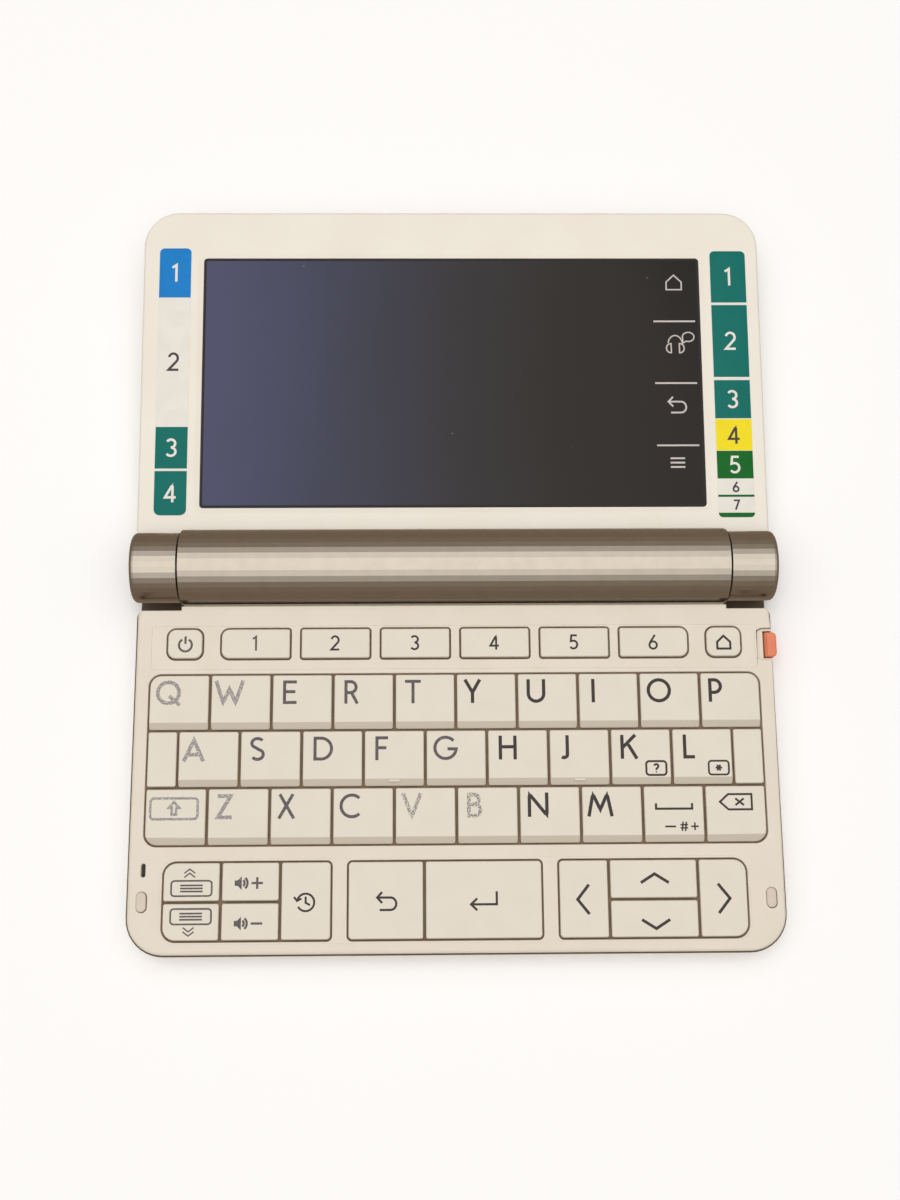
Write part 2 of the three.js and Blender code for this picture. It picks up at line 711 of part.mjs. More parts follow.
// Lower case: a tub with curved sides, screw posts, front feet, and the bay of the stylus
function lowerCase() {
  const rise = deckBottom - FOOT_HEIGHT;
  const outer = [];
  const inner = [];
  for (let i = 0; i <= EDGE_STEPS; i++) {
    const z = FOOT_HEIGHT + rise * (1 - Math.cos((Math.PI / 2) * (i / EDGE_STEPS)));
    outer.push([basePlan(undercutAt(z)), z]);
    const height = floorTop + (deckBottom - floorTop) * (i / EDGE_STEPS);
    const inset = undercutAt(height) + CASE_WALL;
    const radius = Math.max(CORNER_RADIUS - inset, REAR_CORNER);
    const x = caseHalf - inset;
    const radii = [radius, radius, REAR_CORNER, REAR_CORNER];
    inner.push([outline(-x, x, caseFront + inset, notchRear - CASE_WALL, radii, CORNER_STEPS), height]);
  }
  inner.push([inner.at(-1)[0], deckBottom + OVERRUN]);
  const rearWall = block(
    -barrelHalf,
    barrelHalf,
    notchRear - CASE_WALL / 2,
    deckRear,
    FOOT_HEIGHT,
    flangeBottom - CONTACT_GAP,
  );
  const flangeWay = block(
    -barrelHalf,
    barrelHalf,
    notchRear - CASE_WALL - OVERRUN,
    deckRear + OVERRUN,
    flangeBottom - CONTACT_GAP,
    deckBottom + OVERRUN,
  );
  const tub = cut(join(loft(outer), rearWall), loft(inner), flangeWay);
  const posts = postPlaces().map(([x, y]) => post(POST_RADIUS, x, y, floorTop - FLOOR_THICKNESS / 2, boardBottom));
  const wells = postPlaces().map(([x, y]) => post(SCREW_RADIUS, x, y, FOOT_HEIGHT - OVERRUN, FOOT_HEIGHT + SCREW_DEPTH));
  const footY = caseFront + FOOT_INSET;
  const feet = [-1, 1].map((side) => {
    const x = side * (caseHalf - UNDERCUT - FOOT_INSET);
    const [l, w] = [FOOT_LENGTH / 2, FOOT_WIDTH / 2];
    const radii = [w / 2, w / 2, w / 2, w / 2];
    return slab(outline(x - l, x + l, footY - w, footY + w, radii, KEY_CORNER_STEPS), 0, floorTop - FLOOR_THICKNESS / 2);
  });
  const [bay, ...ways] = stylusBay();
  return cut(join(tub, ...posts, ...feet, bay), ...ways, ...wells);
}

// The block that guides the stylus, its bore, and the slot of the stylus head in the side wall
function stylusBay() {
  const radius = STYLUS_DIAMETER / 2 + STYLUS_CLEARANCE;
  const half = radius + BAY_WALL;
  const end = caseHalf - undercutAt(stylusZ) - CASE_WALL / 2;
  const bay = block(
    end - BAY_LENGTH,
    end,
    stylusY - half,
    stylusY + half,
    floorTop - FLOOR_THICKNESS / 2,
    boardBottom - STYLUS_CLEARANCE,
  );
  const bore = rod(radius, end - BAY_LENGTH - OVERRUN, capEnd + OVERRUN, SMALL_STEPS).translate([0, stylusY, stylusZ]);
  const above = block(
    end - BAY_LENGTH - OVERRUN,
    end - CASE_WALL,
    stylusY - radius,
    stylusY + radius,
    stylusZ,
    boardBottom,
  );
  return [bay, bore, above, headSlot(stylusHeadFoot() - HEAD_CLEARANCE, deckBottom + OVERRUN)];
}

function stylusHeadFoot() {
  return floorTop + STYLUS_HEAD_FOOT;
}

// Stylus: a thin shaft with a tapered tip, and a head that rounds off towards the side
function stylus() {
  const radius = STYLUS_DIAMETER / 2;
  const start = stylusInner - STYLUS_SHAFT;
  const shaft = turned(
    [
      [0, start],
      [STYLUS_TIP_RADIUS, start],
      [radius, start + STYLUS_TIP],
      [radius, stylusInner + STYLUS_HEAD_DEPTH / 2],
      [0, stylusInner + STYLUS_HEAD_DEPTH / 2],
    ],
    SMALL_STEPS,
  ).translate([0, stylusY, stylusZ]);
  const half = STYLUS_HEAD_WIDTH / 2;
  const foot = stylusHeadFoot();
  const top = deckTop - STYLUS_HEAD_TOP_DROP;
  const rings = [];
  for (let i = 0; i <= EDGE_STEPS; i++) {
    const share = i / EDGE_STEPS;
    const x1 = capEnd - STYLUS_HEAD_TUCK * (1 - share) ** 2;
    const radii = [SQUARE_CORNER, STYLUS_HEAD_CORNER, STYLUS_HEAD_CORNER, SQUARE_CORNER];
    const points = outline(stylusInner, x1, stylusY - half, stylusY + half, radii, KEY_CORNER_STEPS);
    rings.push([points, foot + (top - foot) * share]);
  }
  return join(shaft, loft(rings));
}

// Main board with the key mat bonded on top: one dome under each key's plunger, at its pressed height
function mainBoard() {
  const inset = undercutAt(boardBottom) + CASE_WALL + BOARD_CLEARANCE;
  const x = caseHalf - inset;
  const rear = notchRear - CASE_WALL - BOARD_CLEARANCE - FLANGE_DEPTH / 2;
  const front = caseFront + inset;
  const radius = Math.max(CORNER_RADIUS - inset, REAR_CORNER);
  const radii = [radius, radius, REAR_CORNER, REAR_CORNER];
  const small = radii.map((value) => Math.max(value - MAT_INSET, SQUARE_CORNER));
  const board = slab(outline(-x, x, front, rear, radii, CORNER_STEPS), boardBottom, boardTop);
  const mat = slab(
    outline(-x + MAT_INSET, x - MAT_INSET, front + MAT_INSET, rear - MAT_INSET, small, CORNER_STEPS),
    boardBottom + BOARD_THICKNESS / 2,
    matTop,
  );
  const domes = keys.map((key) => {
    const free = KEY_GAP + 2 * (KEY_LEDGE + STEM_CLEARANCE + STEM_WALL + DOME_CLEARANCE);
    const fit = Math.min(key.x1 - key.x0 - free, key.y1 - key.y0 - free) / 2;
    const reach = Math.min(DOME_RADIUS, fit);
    const [cx, cy] = [(key.x0 + key.x1) / 2, (key.y0 + key.y1) / 2];
    const foot = matTop - MAT_THICKNESS / 2;
    return post(reach, cx, cy, foot, matTop + DOME_HEIGHT, reach * DOME_TOP_SHARE, DOME_STEPS);
  });
  const row = blockRear + (clusterFront - blockRear) * CHIP_ROW_SHARE;
  const chips = CHIP_X_SHARES.map((share) => {
    const [cx, half] = [share * blockHalf, CHIP_SIZE / 2];
    const z = boardBottom - CHIP_HEIGHT;
    return block(cx - half, cx + half, row - half, row + half, z, boardBottom + BOARD_THICKNESS / 2);
  });
  return join(board, mat, ...chips, ...domes);
}

// Cells: two in line, nub against foot
function batteryCells() {
  const profile = [[0, -CELL_LENGTH]];
  for (const start of [-CELL_LENGTH, 0]) {
    const shoulder = start + CELL_LENGTH - CELL_NUB_LENGTH;
    profile.push([CELL_RADIUS, start], [CELL_RADIUS, shoulder]);
    profile.push([CELL_NUB_RADIUS, shoulder], [CELL_NUB_RADIUS, start + CELL_LENGTH]);
  }
  profile.push([0, CELL_LENGTH]);
  return turned(profile, ROUND_STEPS / 2);
}

// Barrel of the base: a tube that holds the cells, with solid ends bored for the hinge shafts,
// a flange held between deck and case, and the rear feet
function hingeBarrel() {
  const flange = block(
    -barrelHalf + CONTACT_GAP,
    barrelHalf - CONTACT_GAP,
    notchRear - FLANGE_DEPTH,
    -boreRadius / 2,
    flangeBottom - axisHeight,
    deckBottom - axisHeight,
  );
  const feet = [-1, 1].map((side) => {
    const x = side * (barrelHalf - PLUG_LENGTH / 2);
    const [l, w] = [PLUG_LENGTH / 3, REAR_FOOT_WIDTH / 2];
    return block(x - l, x + l, -w, w, -axisHeight, -barrelRadius + BARREL_WALL);
  });
  const body = join(rod(barrelRadius, -barrelHalf, barrelHalf, ROUND_STEPS), flange, ...feet);
  const hollow = rod(boreRadius, -bayHalf, bayHalf, ROUND_STEPS);
  const contacts = [-1, 1].map((side) => {
    const [near, far] = [CELL_LENGTH + CONTACT_GAP, bayHalf + PLUG_LENGTH / 4];
    return rod(CONTACT_RADIUS, Math.min(side * near, side * far), Math.max(side * near, side * far), SMALL_STEPS);
  });
  const bores = [-1, 1].map((side) => {
    const [near, far] = [barrelHalf - shaftDepth - SHAFT_CLEARANCE, barrelHalf + OVERRUN];
    const radius = SHAFT_RADIUS + SHAFT_CLEARANCE;
    return rod(radius, Math.min(side * near, side * far), Math.max(side * near, side * far), SMALL_STEPS * 2);
  });
  const window = wedge(doorFrontAngle, doorBackAngle + 2 * Math.PI, -bayHalf, bayHalf);
  return cut(join(cut(body, hollow), ...contacts), window, ...bores);
}

// Battery door: the lower part of the barrel's wall between its solid ends, with finger grooves
function batteryDoor() {
  const half = bayHalf - DOOR_GAP;
  const wall = cut(rod(barrelRadius, -half, half, ROUND_STEPS), rod(boreRadius, -half - OVERRUN, half + OVERRUN, ROUND_STEPS));
  const turn = DOOR_GAP / barrelRadius;
  const from = doorFrontAngle + turn;
  const to = doorBackAngle + 2 * Math.PI - turn;
  const middle = (from + to) / 2;
  const grooves = Array.from({ length: GRIP_COUNT }, (_, i) => {
    const x = bayHalf - PLUG_LENGTH - i * GRIP_PITCH;
    const spread = turn * GRIP_COUNT;
    const band = cut(
      rod(barrelRadius + OVERRUN, x - GRIP_WIDTH / 2, x + GRIP_WIDTH / 2, ROUND_STEPS),
      rod(barrelRadius - GRIP_DEPTH, x - GRIP_WIDTH, x + GRIP_WIDTH, ROUND_STEPS),
    );
    return band.intersect(wedge(middle - spread, middle + spread, x - GRIP_WIDTH, x + GRIP_WIDTH));
  });
  return cut(wall.intersect(wedge(from, to, -half, half)), ...grooves);
}

// End cap of the barrel: a fluted drum with a round edge, the hinge shaft, and a tongue that carries the lid
function hingeCap(side) {
  const profile = [
    [0, capStart - CAP_JOINT - shaftDepth],
    [SHAFT_RADIUS, capStart - CAP_JOINT - shaftDepth],
    [SHAFT_RADIUS, capStart],
    [CAP_RADIUS, capStart],
  ];
  for (let i = 0; i <= EDGE_STEPS; i++) {
    const angle = (Math.PI / 2) * (i / EDGE_STEPS);
    profile.push([CAP_RADIUS - CAP_EDGE * (1 - Math.cos(angle)), capEnd - CAP_EDGE + CAP_EDGE * Math.sin(angle)]);
  }
  profile.push([0, capEnd]);
  let drum = turned(profile, ROUND_STEPS);
  if (side < 0) drum = drum.rotate([0, 0, 180]);
  const centre = side * (capStart + CAP_LENGTH / 2);
  const neckHalf = CAP_LENGTH / 2 - CAP_EDGE;
  const tongueMiddle = (bezelBottom + skinTop) / 2;
  const neck = block(centre - neckHalf, centre + neckHalf, CAP_RADIUS / 2, lidNear, skinTop, bezelBottom);
  const tongueCentre = side * (capStart + TONGUE_SIDE_GAP + TONGUE_WIDTH / 2);
  const tongue = block(
    tongueCentre - TONGUE_WIDTH / 2,
    tongueCentre + TONGUE_WIDTH / 2,
    CAP_RADIUS / 2,
    lidNear + TONGUE_REACH,
    tongueMiddle - TONGUE_THICKNESS / 2,
    tongueMiddle + TONGUE_THICKNESS / 2,
  );
  return { body: join(drum, neck, tongue), tongueCentre, tongueMiddle };
}

const caps = { left: hingeCap(-1), right: hingeCap(1) };

// The lid's plan, drawn in by inset at the sides and the far edge
function lidPlan(inset, near, far) {
  const front = REAR_CORNER;
  const back = Math.max(CORNER_RADIUS - inset, REAR_CORNER);
  const x = lidHalf - inset;
  return outline(-x, x, near, far - inset, [front, front, back, back], CORNER_STEPS);
}

// Lid back cover: a shallow tray with rounded outer edges, ribs under the panel and slots for the tongues
function lidBackCover() {
  const rings = [];
  for (let i = 0; i <= EDGE_STEPS; i++) {
    const angle = (Math.PI / 2) * (i / EDGE_STEPS);
    rings.push([lidPlan(LID_EDGE * (1 - Math.sin(angle)), lidNear, lidFar), skinBottom + LID_EDGE * (1 - Math.cos(angle))]);
  }
  rings.push([lidPlan(0, lidNear, lidFar), bezelBottom]);
  const hollowPlan = lidPlan(CASE_WALL + LID_EDGE / 2, lidNear + CASE_WALL, lidFar);
  const hollow = slab(hollowPlan, skinTop, bezelBottom + OVERRUN);
  const slots = Object.values(caps).map(({ tongueCentre, tongueMiddle }) => {
    const half = TONGUE_WIDTH / 2 + TONGUE_CLEARANCE;
    const rise = TONGUE_THICKNESS / 2 + TONGUE_CLEARANCE;
    const [y0, y1] = [lidNear - OVERRUN, lidNear + CASE_WALL + OVERRUN];
    return block(tongueCentre - half, tongueCentre + half, y0, y1, tongueMiddle - rise, tongueMiddle + rise);
  });
  const ribs = LID_RIB_SHARES.map((share) => {
    const x = share * windowHalf;
    return block(
      x - LID_RIB_WIDTH / 2,
      x + LID_RIB_WIDTH / 2,
      lidNear + CASE_WALL / 2,
      lidFar - LID_EDGE,
      skinTop - LID_SKIN / 2,
      panelBottom,
    );
  });
  return cut(join(cut(loft(rings), hollow), ...ribs), ...slots);
}

// The window's outline, moved out by reach
function windowPlan(reach) {
  const radius = WINDOW_CORNER + reach;
  const x = windowHalf + reach;
  return outline(-x, x, WINDOW_START - reach, windowFar + reach, [radius, radius, radius, radius], KEY_CORNER_STEPS);
}

// Display bezel: the lid's inner face, with a round rim, a chamfered window and an ear over the neck of each cap
function displayBezel() {
  const rings = [[lidPlan(0, lidNear, lidFar), bezelBottom]];
  for (let i = 0; i <= EDGE_STEPS; i++) {
    const angle = (Math.PI / 2) * (i / EDGE_STEPS);
    const z = -lidRise - BEZEL_EDGE * (1 - Math.sin(angle));
    rings.push([lidPlan(BEZEL_EDGE * (1 - Math.cos(angle)), lidNear, lidFar), z]);
  }
  const ears = [-1, 1].map((side) => {
    const ends = [side * (capStart - EAR_CLEARANCE), side * (lidHalf - BEZEL_EDGE)];
    return block(
      Math.min(...ends),
      Math.max(...ends),
      CAP_RADIUS + EAR_CLEARANCE,
      lidNear + REAR_CORNER,
      bezelBottom,
      -lidRise,
    );
  });
  const glassTop = -lidRise - GLASS_RECESS;
  const opening = slab(windowPlan(0), bezelBottom - OVERRUN, OVERRUN);
  const chamfer = loft([
    [windowPlan(0), glassTop],
    [windowPlan(2 * WINDOW_CHAMFER), glassTop + 2 * GLASS_RECESS],
  ]);
  return cut(join(loft(rings), ...ears), opening, chamfer);
}

// Display panel: cover glass and liquid crystal cell bonded together, with a lip behind the bezel
function displayPanel() {
  const x = windowHalf + PANEL_LIP;
  return join(
    block(-x, x, WINDOW_START - PANEL_LIP, windowFar + PANEL_LIP, panelBottom, bezelBottom),
    slab(windowPlan(-PANEL_CLEARANCE), panelBottom, -lidRise - GLASS_RECESS),
  );
}

place(base, "lower_case", lowerCase(), "ivory");
place(base, "keyboard_deck", keyboardDeck(), "ivory");
place(base, "main_board", mainBoard(), "board");
place(base, "hinge_barrel", hingeBarrel(), "champagne", 0, 0, axisHeight);
place(base, "battery_cells", batteryCells(), "cell", 0, 0, axisHeight);
place(base, "battery_door", batteryDoor(), "champagne", 0, 0, axisHeight);
place(base, "stylus", stylus(), "orange");
place(lid, "hinge_cap_left", caps.left.body, "champagne");
place(lid, "hinge_cap_right", caps.right.body, "champagne");
place(lid, "lid_back_cover", lidBackCover(), "gloss");
place(lid, "display_bezel", displayBezel(), "gloss");
place(lid, "display_panel", displayPanel(), "glass");

export default dictionary;
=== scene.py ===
"""Looks of a pocket electronic dictionary that lies wide open on a pale floor.

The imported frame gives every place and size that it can. Lengths in this file are millimetres, with x to
the right, y to the back and z up, and they become metres where a mesh is written.
"""

import json
import logging
from collections.abc import Sequence
from dataclasses import dataclass, field
from enum import Enum

import bmesh
import bpy
import numpy as np
from mathutils import Matrix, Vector
from mathutils.geometry import tessellate_polygon

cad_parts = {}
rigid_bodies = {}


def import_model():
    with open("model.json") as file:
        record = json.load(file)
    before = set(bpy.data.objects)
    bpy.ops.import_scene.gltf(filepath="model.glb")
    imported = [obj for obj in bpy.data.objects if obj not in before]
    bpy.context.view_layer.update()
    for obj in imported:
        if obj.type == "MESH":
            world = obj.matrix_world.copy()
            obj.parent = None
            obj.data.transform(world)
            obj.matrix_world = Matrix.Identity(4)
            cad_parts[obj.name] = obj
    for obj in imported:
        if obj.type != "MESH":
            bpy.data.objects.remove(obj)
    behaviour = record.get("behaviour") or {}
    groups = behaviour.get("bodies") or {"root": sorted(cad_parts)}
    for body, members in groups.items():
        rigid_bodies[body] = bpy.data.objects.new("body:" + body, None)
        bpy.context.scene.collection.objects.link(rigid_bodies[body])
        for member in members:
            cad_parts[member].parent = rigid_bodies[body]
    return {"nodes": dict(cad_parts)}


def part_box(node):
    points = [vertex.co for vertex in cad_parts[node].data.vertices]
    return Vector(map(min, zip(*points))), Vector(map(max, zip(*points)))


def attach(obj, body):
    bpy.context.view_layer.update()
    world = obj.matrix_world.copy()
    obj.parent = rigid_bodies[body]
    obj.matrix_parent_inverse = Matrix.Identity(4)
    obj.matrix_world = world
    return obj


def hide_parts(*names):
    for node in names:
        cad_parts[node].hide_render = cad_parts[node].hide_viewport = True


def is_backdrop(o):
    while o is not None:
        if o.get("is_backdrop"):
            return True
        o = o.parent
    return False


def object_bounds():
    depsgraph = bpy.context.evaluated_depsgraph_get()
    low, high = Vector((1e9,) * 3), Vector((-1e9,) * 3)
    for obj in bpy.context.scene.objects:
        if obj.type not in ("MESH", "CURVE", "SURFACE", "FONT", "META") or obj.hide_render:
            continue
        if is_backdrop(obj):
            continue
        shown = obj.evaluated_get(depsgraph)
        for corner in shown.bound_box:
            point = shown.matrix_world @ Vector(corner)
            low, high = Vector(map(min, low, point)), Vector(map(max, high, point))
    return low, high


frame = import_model()
cad_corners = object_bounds()

log = logging.getLogger("dictionary")
Array = np.ndarray
Loop = np.ndarray
Material = bpy.types.Material
Object = bpy.types.Object
Socket = bpy.types.NodeSocket
Tree = bpy.types.NodeTree

MM = 0.001
MERGE_MM = 0.0005
ROUND_STEPS = 10
FILLET_STEPS = 4
# Edges that turn by more than this are creases
CREASE_DEG = 40
# Faces that meet at less than this are one face
LEVEL_DEG = 0.5
# Round of an edge that looks sharp
SHARP = 0.0001
# Cosine of a turn of 130 degrees, from which a stroke's mitre is thin at its point
POINTED = -0.64
# Least sum that a mitre is divided by, so that a sharp bend doesn't throw its corner far out
MITRE_FLOOR = 0.35


class Slot(Enum):
    """The record's material slots that new pieces take."""

    IVORY = "ivory_plastic"
    KEYCAP = "keycap_plastic"
    GLOSS = "gloss_ivory"
    METAL = "champagne_metal"
    GLASS = "dark_glass"
    ORANGE = "orange_plastic"


class Body(Enum):
    """The bodies of the frame that pieces ride on, apart from the keys, which have one each."""

    BASE = "base"
    LID = "lid"
    STYLUS = "stylus"
    DOOR = "battery_door"


class Wear(Enum):
    """How much of a key's print is left."""

    FRESH = "ink"
    RUBBED = "rubbed"
    FADED = "faded"
    CRUMBLED = "crumbled"


# Outlines and surfaces


def arc(centre: Sequence[float], radii: Sequence[float], start: float, end: float, steps: int = 16) -> Loop:
    """Points on an ellipse's arc: the centre plus the radii times the cosine and sine of an even angle.

    Args:
        centre: x and y of the centre.
        radii: half widths of the ellipse along x and y.
        start: first angle in degrees, counter-clockwise from +x.
        end: last angle in degrees.
        steps: how many chords the arc has.

    Returns:
        The points, one row each.
    """
    angle = np.radians(np.linspace(start, end, steps + 1))
    return np.column_stack([centre[0] + radii[0] * np.cos(angle), centre[1] + radii[1] * np.sin(angle)])


def oval(centre: Sequence[float], radii: Sequence[float], steps: int) -> Loop:
    """A closed ellipse's points, the last of them 15 degrees before the first."""
    return arc(centre, radii, 0, 345, steps)


def line(*points: Sequence[float]) -> Loop:
    """The points of a bent line, one row each."""
    return np.array(points, float)


def rounded(
    x0: float, x1: float, y0: float, y1: float, radii: Sequence[float], steps: int = ROUND_STEPS
) -> Loop:
    """A rectangle with a quarter circle of its own radius at each corner, counter-clockwise.

    Args:
        x0: left edge.
        x1: right edge.
        y0: front edge.
        y1: back edge.
        radii: corner radii at front left, front right, back right and back left.
        steps: chords in each corner.

    Returns:
        The points of the closed loop, one row each.
    """
    r = np.asarray(radii, float)
    centres = np.array([[x0, y0], [x1, y0], [x1, y1], [x0, y1]], float)
    centres += np.array([[1, 1], [-1, 1], [-1, -1], [1, -1]]) * r[:, None]
    turn = np.radians(np.linspace(0, 90, steps + 1))
    angle = np.radians([180, 270, 0, 90])[:, None] + turn
    round_points = np.stack([np.cos(angle), np.sin(angle)], axis=2)
    return (centres[:, None] + r[:, None, None] * round_points).reshape(-1, 2)


def inset(loop: Loop, distance: float | Array) -> Loop:
    """The loop moved in by a distance, each corner along the mitre of its two edges.

    Args:
        loop: counter-clockwise points.
        distance: how far each edge moves to the inside, one value or one for each point. Negative moves out.

    Returns:
        The moved points.
    """
    edge = np.roll(loop, -1, axis=0) - loop
    edge /= np.linalg.norm(edge, axis=1, keepdims=True)
    normal = np.column_stack([-edge[:, 1], edge[:, 0]])
    before = np.roll(normal, 1, axis=0)
    mitre = (normal + before) / (1 + np.sum(normal * before, axis=1))[:, None]
    return loop + mitre * np.reshape(distance, (-1, 1))


def crossed(loop: Loop, level: float) -> Loop:
    """The loop with a point more wherever one of its edges crosses that y.

    Args:
        loop: points of a closed loop.
        level: the y of the crossings.

    Returns:
        The loop with its new points.
    """
    after = np.roll(loop, -1, axis=0)
    start, end = loop[:, 1] - level, after[:, 1] - level
    cuts = np.flatnonzero(start * end < 0)
    share = (start[cuts] / (start[cuts] - end[cuts]))[:, None]
    return np.insert(loop, cuts + 1, loop[cuts] + share * (after[cuts] - loop[cuts]), axis=0)


def straight_runs(path: Loop, pull: float) -> list[Loop]:
    """The runs of a path that turns back on itself by more than 130 degrees, each shortened at such a turn.

    A mitred bar grows thin towards its sharp points. Laid over it, these runs give it back its width.

    Args:
        path: points of the path.
        pull: how much a run is shortened at a turn.

    Returns:
        The runs, and none for a path without such a turn.
    """
    ahead = np.diff(path, axis=0)
    ahead /= np.linalg.norm(ahead, axis=1, keepdims=True)
    turns = (np.flatnonzero(np.sum(ahead[1:] * ahead[:-1], axis=1) < POINTED) + 1).tolist()
    last = len(path) - 1
    runs = []
    for start, end in zip([0, *turns], [*turns, last] if turns else []):
        run = path[start : end + 1].copy()
        run[0] += ahead[start] * pull * (start > 0)
        run[-1] -= ahead[end - 1] * pull * (end < last)
        runs.append(run)
    return runs


def in_order(chosen: Array) -> list[int]:
    """The numbers of a loop's chosen points, in the loop's order from the first one that follows a gap.

    Args:
        chosen: whether each point of the loop is chosen.

    Returns:
        The numbers.
    """
    start = np.flatnonzero(chosen & ~np.roll(chosen, 1))[0]
    order = (start + np.arange(len(chosen))) % len(chosen)
    return order[chosen[order]].tolist()


def at_height(loop: Loop, z: float | Array) -> Array:
    """The loop's points as a ring at a height, or with a height for each point."""
    return np.column_stack([loop, np.broadcast_to(z, len(loop))])


class Skin:
    """A mesh under construction: its points in millimetres, and faces as lists of point numbers."""

    def __init__(self) -> None:
        """Starts with nothing in it."""
        self.points: list[Array] = []
        self.faces: list[list[int]] = []
        self.count = 0

    def add(self, points: Array, faces: Sequence[Sequence[int]] | Array) -> "Skin":
        """Adds points and the faces that number them from zero, and returns the skin.

        Args:
            points: new points, one row each.
            faces: faces as lists of their numbers among these.

        Returns:
            The skin.
        """
        numbers = faces.tolist() if isinstance(faces, np.ndarray) else faces
        self.faces += [[self.count + i for i in face] for face in numbers]
        self.points.append(points)
        self.count += len(points)
        return self

    def join(self, *others: "Skin") -> "Skin":
        """Adds other skins to this one, and returns it."""
        for other in others:
            self.add(np.vstack(other.points), other.faces)
        return self

    def loft(self, rings: Sequence[Array], capped: bool = True, looped: bool = False) -> "Skin":
        """Adds the surface over a list of closed rings, quad by quad between neighbours.

        Args:
            rings: rings with the same number of points, in order along the surface.
            capped: whether the first and the last ring are closed by a face each.
            looped: whether the last ring joins the first, as round a torus.

        Returns:
            The skin.
        """
        rows, columns = len(rings), len(rings[0])
        row = np.arange(rows if looped else rows - 1)[:, None]
        column = np.arange(columns)
        after, across = (row + 1) % rows, (column + 1) % columns
        here, there = row * columns, after * columns
        corners = [here + column, here + across, there + across, there + column]
        quads = np.stack(np.broadcast_arrays(*corners), axis=2).reshape(-1, 4).tolist()
        if capped and not looped:
            quads += [list(range(columns))[::-1], [(rows - 1) * columns + i for i in range(columns)]]
        return self.add(np.vstack(rings), quads)

    def flat(self, loops: Sequence[Loop], z: float) -> "Skin":
        """Adds a level face inside the first loop and outside the others."""
        lists = [[(x, y, 0.0) for x, y in loop] for loop in loops]
        return self.add(at_height(np.vstack(loops), z), [list(t) for t in tessellate_polygon(lists)])

    def plate(
        self, outer: Loop, holes: Sequence[Loop], bottom: float, top: float, edge: float, rim: float
    ) -> "Skin":
        """Adds a level plate whose upper edges are quarter circles.

        Args:
            outer: outline of the plate.
            holes: outlines of its holes.
            bottom: height of the lower face.
            top: height of the upper face.
            edge: radius of the round along the outline.
            rim: radius of the round along each hole.

        Returns:
            The skin.
        """
        self.flat([outer, *holes], bottom)
        self.flat([inset(outer, edge), *[inset(hole, -rim) for hole in holes]], top)
        self.side(outer, bottom, top, edge)
        for hole in holes:
            self.side(hole, bottom, top, -rim)
        return self

    def side(self, loop: Loop, bottom: float, top: float, edge: float | Array) -> "Skin":
        """Adds a wall along a loop that turns into the top by a quarter circle.

        Args:
            loop: outline of the wall's foot.
            bottom: height of the foot.
            top: height where the round ends.
            edge: radius of the round, or one for each point, negative where the top lies outside the loop.

        Returns:
            The skin.
        """
        rings = [at_height(loop, bottom)]
        for angle in np.radians(np.linspace(0, 90, FILLET_STEPS + 1)):
            moved = inset(loop, edge * (1 - np.cos(angle)))
            rings.append(at_height(moved, top + np.abs(edge) * (np.sin(angle) - 1)))
        return self.loft(rings, capped=False)

    def bar(self, path: Loop, width: float, bottom: float, top: float, closed: bool = False) -> "Skin":
        """Adds a bar of rectangular section carried along a path, mitred where the path bends.

        Args:
            path: points of the bar's middle line.
            width: width of the bar.
            bottom: height of its lower face.
            top: height of its upper face.
            closed: whether the last point joins the first.

        Returns:
            The skin.
        """
        ahead = np.roll(path, -1, axis=0) - path
        if not closed:
            ahead[-1] = ahead[-2]
        ahead /= np.linalg.norm(ahead, axis=1, keepdims=True)
        normal = np.column_stack([-ahead[:, 1], ahead[:, 0]])
        before = np.roll(normal, 1, axis=0)
        if not closed:
            before[0] = normal[0]
        spread = np.maximum(1 + np.sum(normal * before, axis=1), MITRE_FLOOR)
        mitre = (normal + before) / spread[:, None] * width / 2
        corners = [(path + mitre, bottom), (path - mitre, bottom), (path - mitre, top), (path + mitre, top)]
        sections = np.stack([at_height(points, z) for points, z in corners], axis=1)
        return self.loft(list(sections), looped=closed)

    def turned(self, profile: Loop, steps: int) -> "Skin":
        """Adds a form turned round the x axis from a profile whose rows are x and radius.

        Args:
            profile: rows of x and radius.
            steps: how many sides the form has.

        Returns:
            The skin.
        """
        angle = np.radians(np.arange(steps) * 360 / steps)
        ring = np.column_stack([np.zeros(steps), np.cos(angle), np.sin(angle)])
        return self.loft([np.array([x, 0, 0]) + radius * ring for x, radius in profile])

    def moved(self, x: float, y: float, z: float) -> "Skin":
        """Moves all that the skin holds, and returns it."""
        self.points = [points + np.array([x, y, z]) for points in self.points]
        return self

    def raised(self, degrees: float, height: float) -> "Skin":
        """Turns all that the skin holds about the x axis, from y towards z, lifts it, and returns it.

        Args:
            degrees: angle of the turn.
            height: how far it is lifted after it.

        Returns:
            The skin.
        """
        cosine, sine = np.cos(np.radians(degrees)), np.sin(np.radians(degrees))
        turn = np.array([[1, 0, 0], [0, cosine, sine], [0, -sine, cosine]])
        self.points = [points @ turn for points in self.points]
        return self.moved(0, 0, height)


def settle(mesh: bpy.types.Mesh, sharp_deg: float, recalculate: bool = True) -> None:
    """Merges doubles, turns faces outwards, and shades smooth up to an angle.

    Args:
        mesh: the mesh to finish.
        sharp_deg: edges that turn by more than this stay sharp.
        recalculate: whether the faces' directions are worked out again.
    """
    work = bmesh.new()
    work.from_mesh(mesh)
    bmesh.ops.remove_doubles(work, verts=work.verts, dist=MERGE_MM * MM)
    if recalculate:
        bmesh.ops.recalc_face_normals(work, faces=work.faces)
    work.to_mesh(mesh)
    work.free()
    mesh.polygons.foreach_set("use_smooth", np.ones(len(mesh.polygons), bool))
    mesh.set_sharp_from_angle(angle=np.radians(sharp_deg))


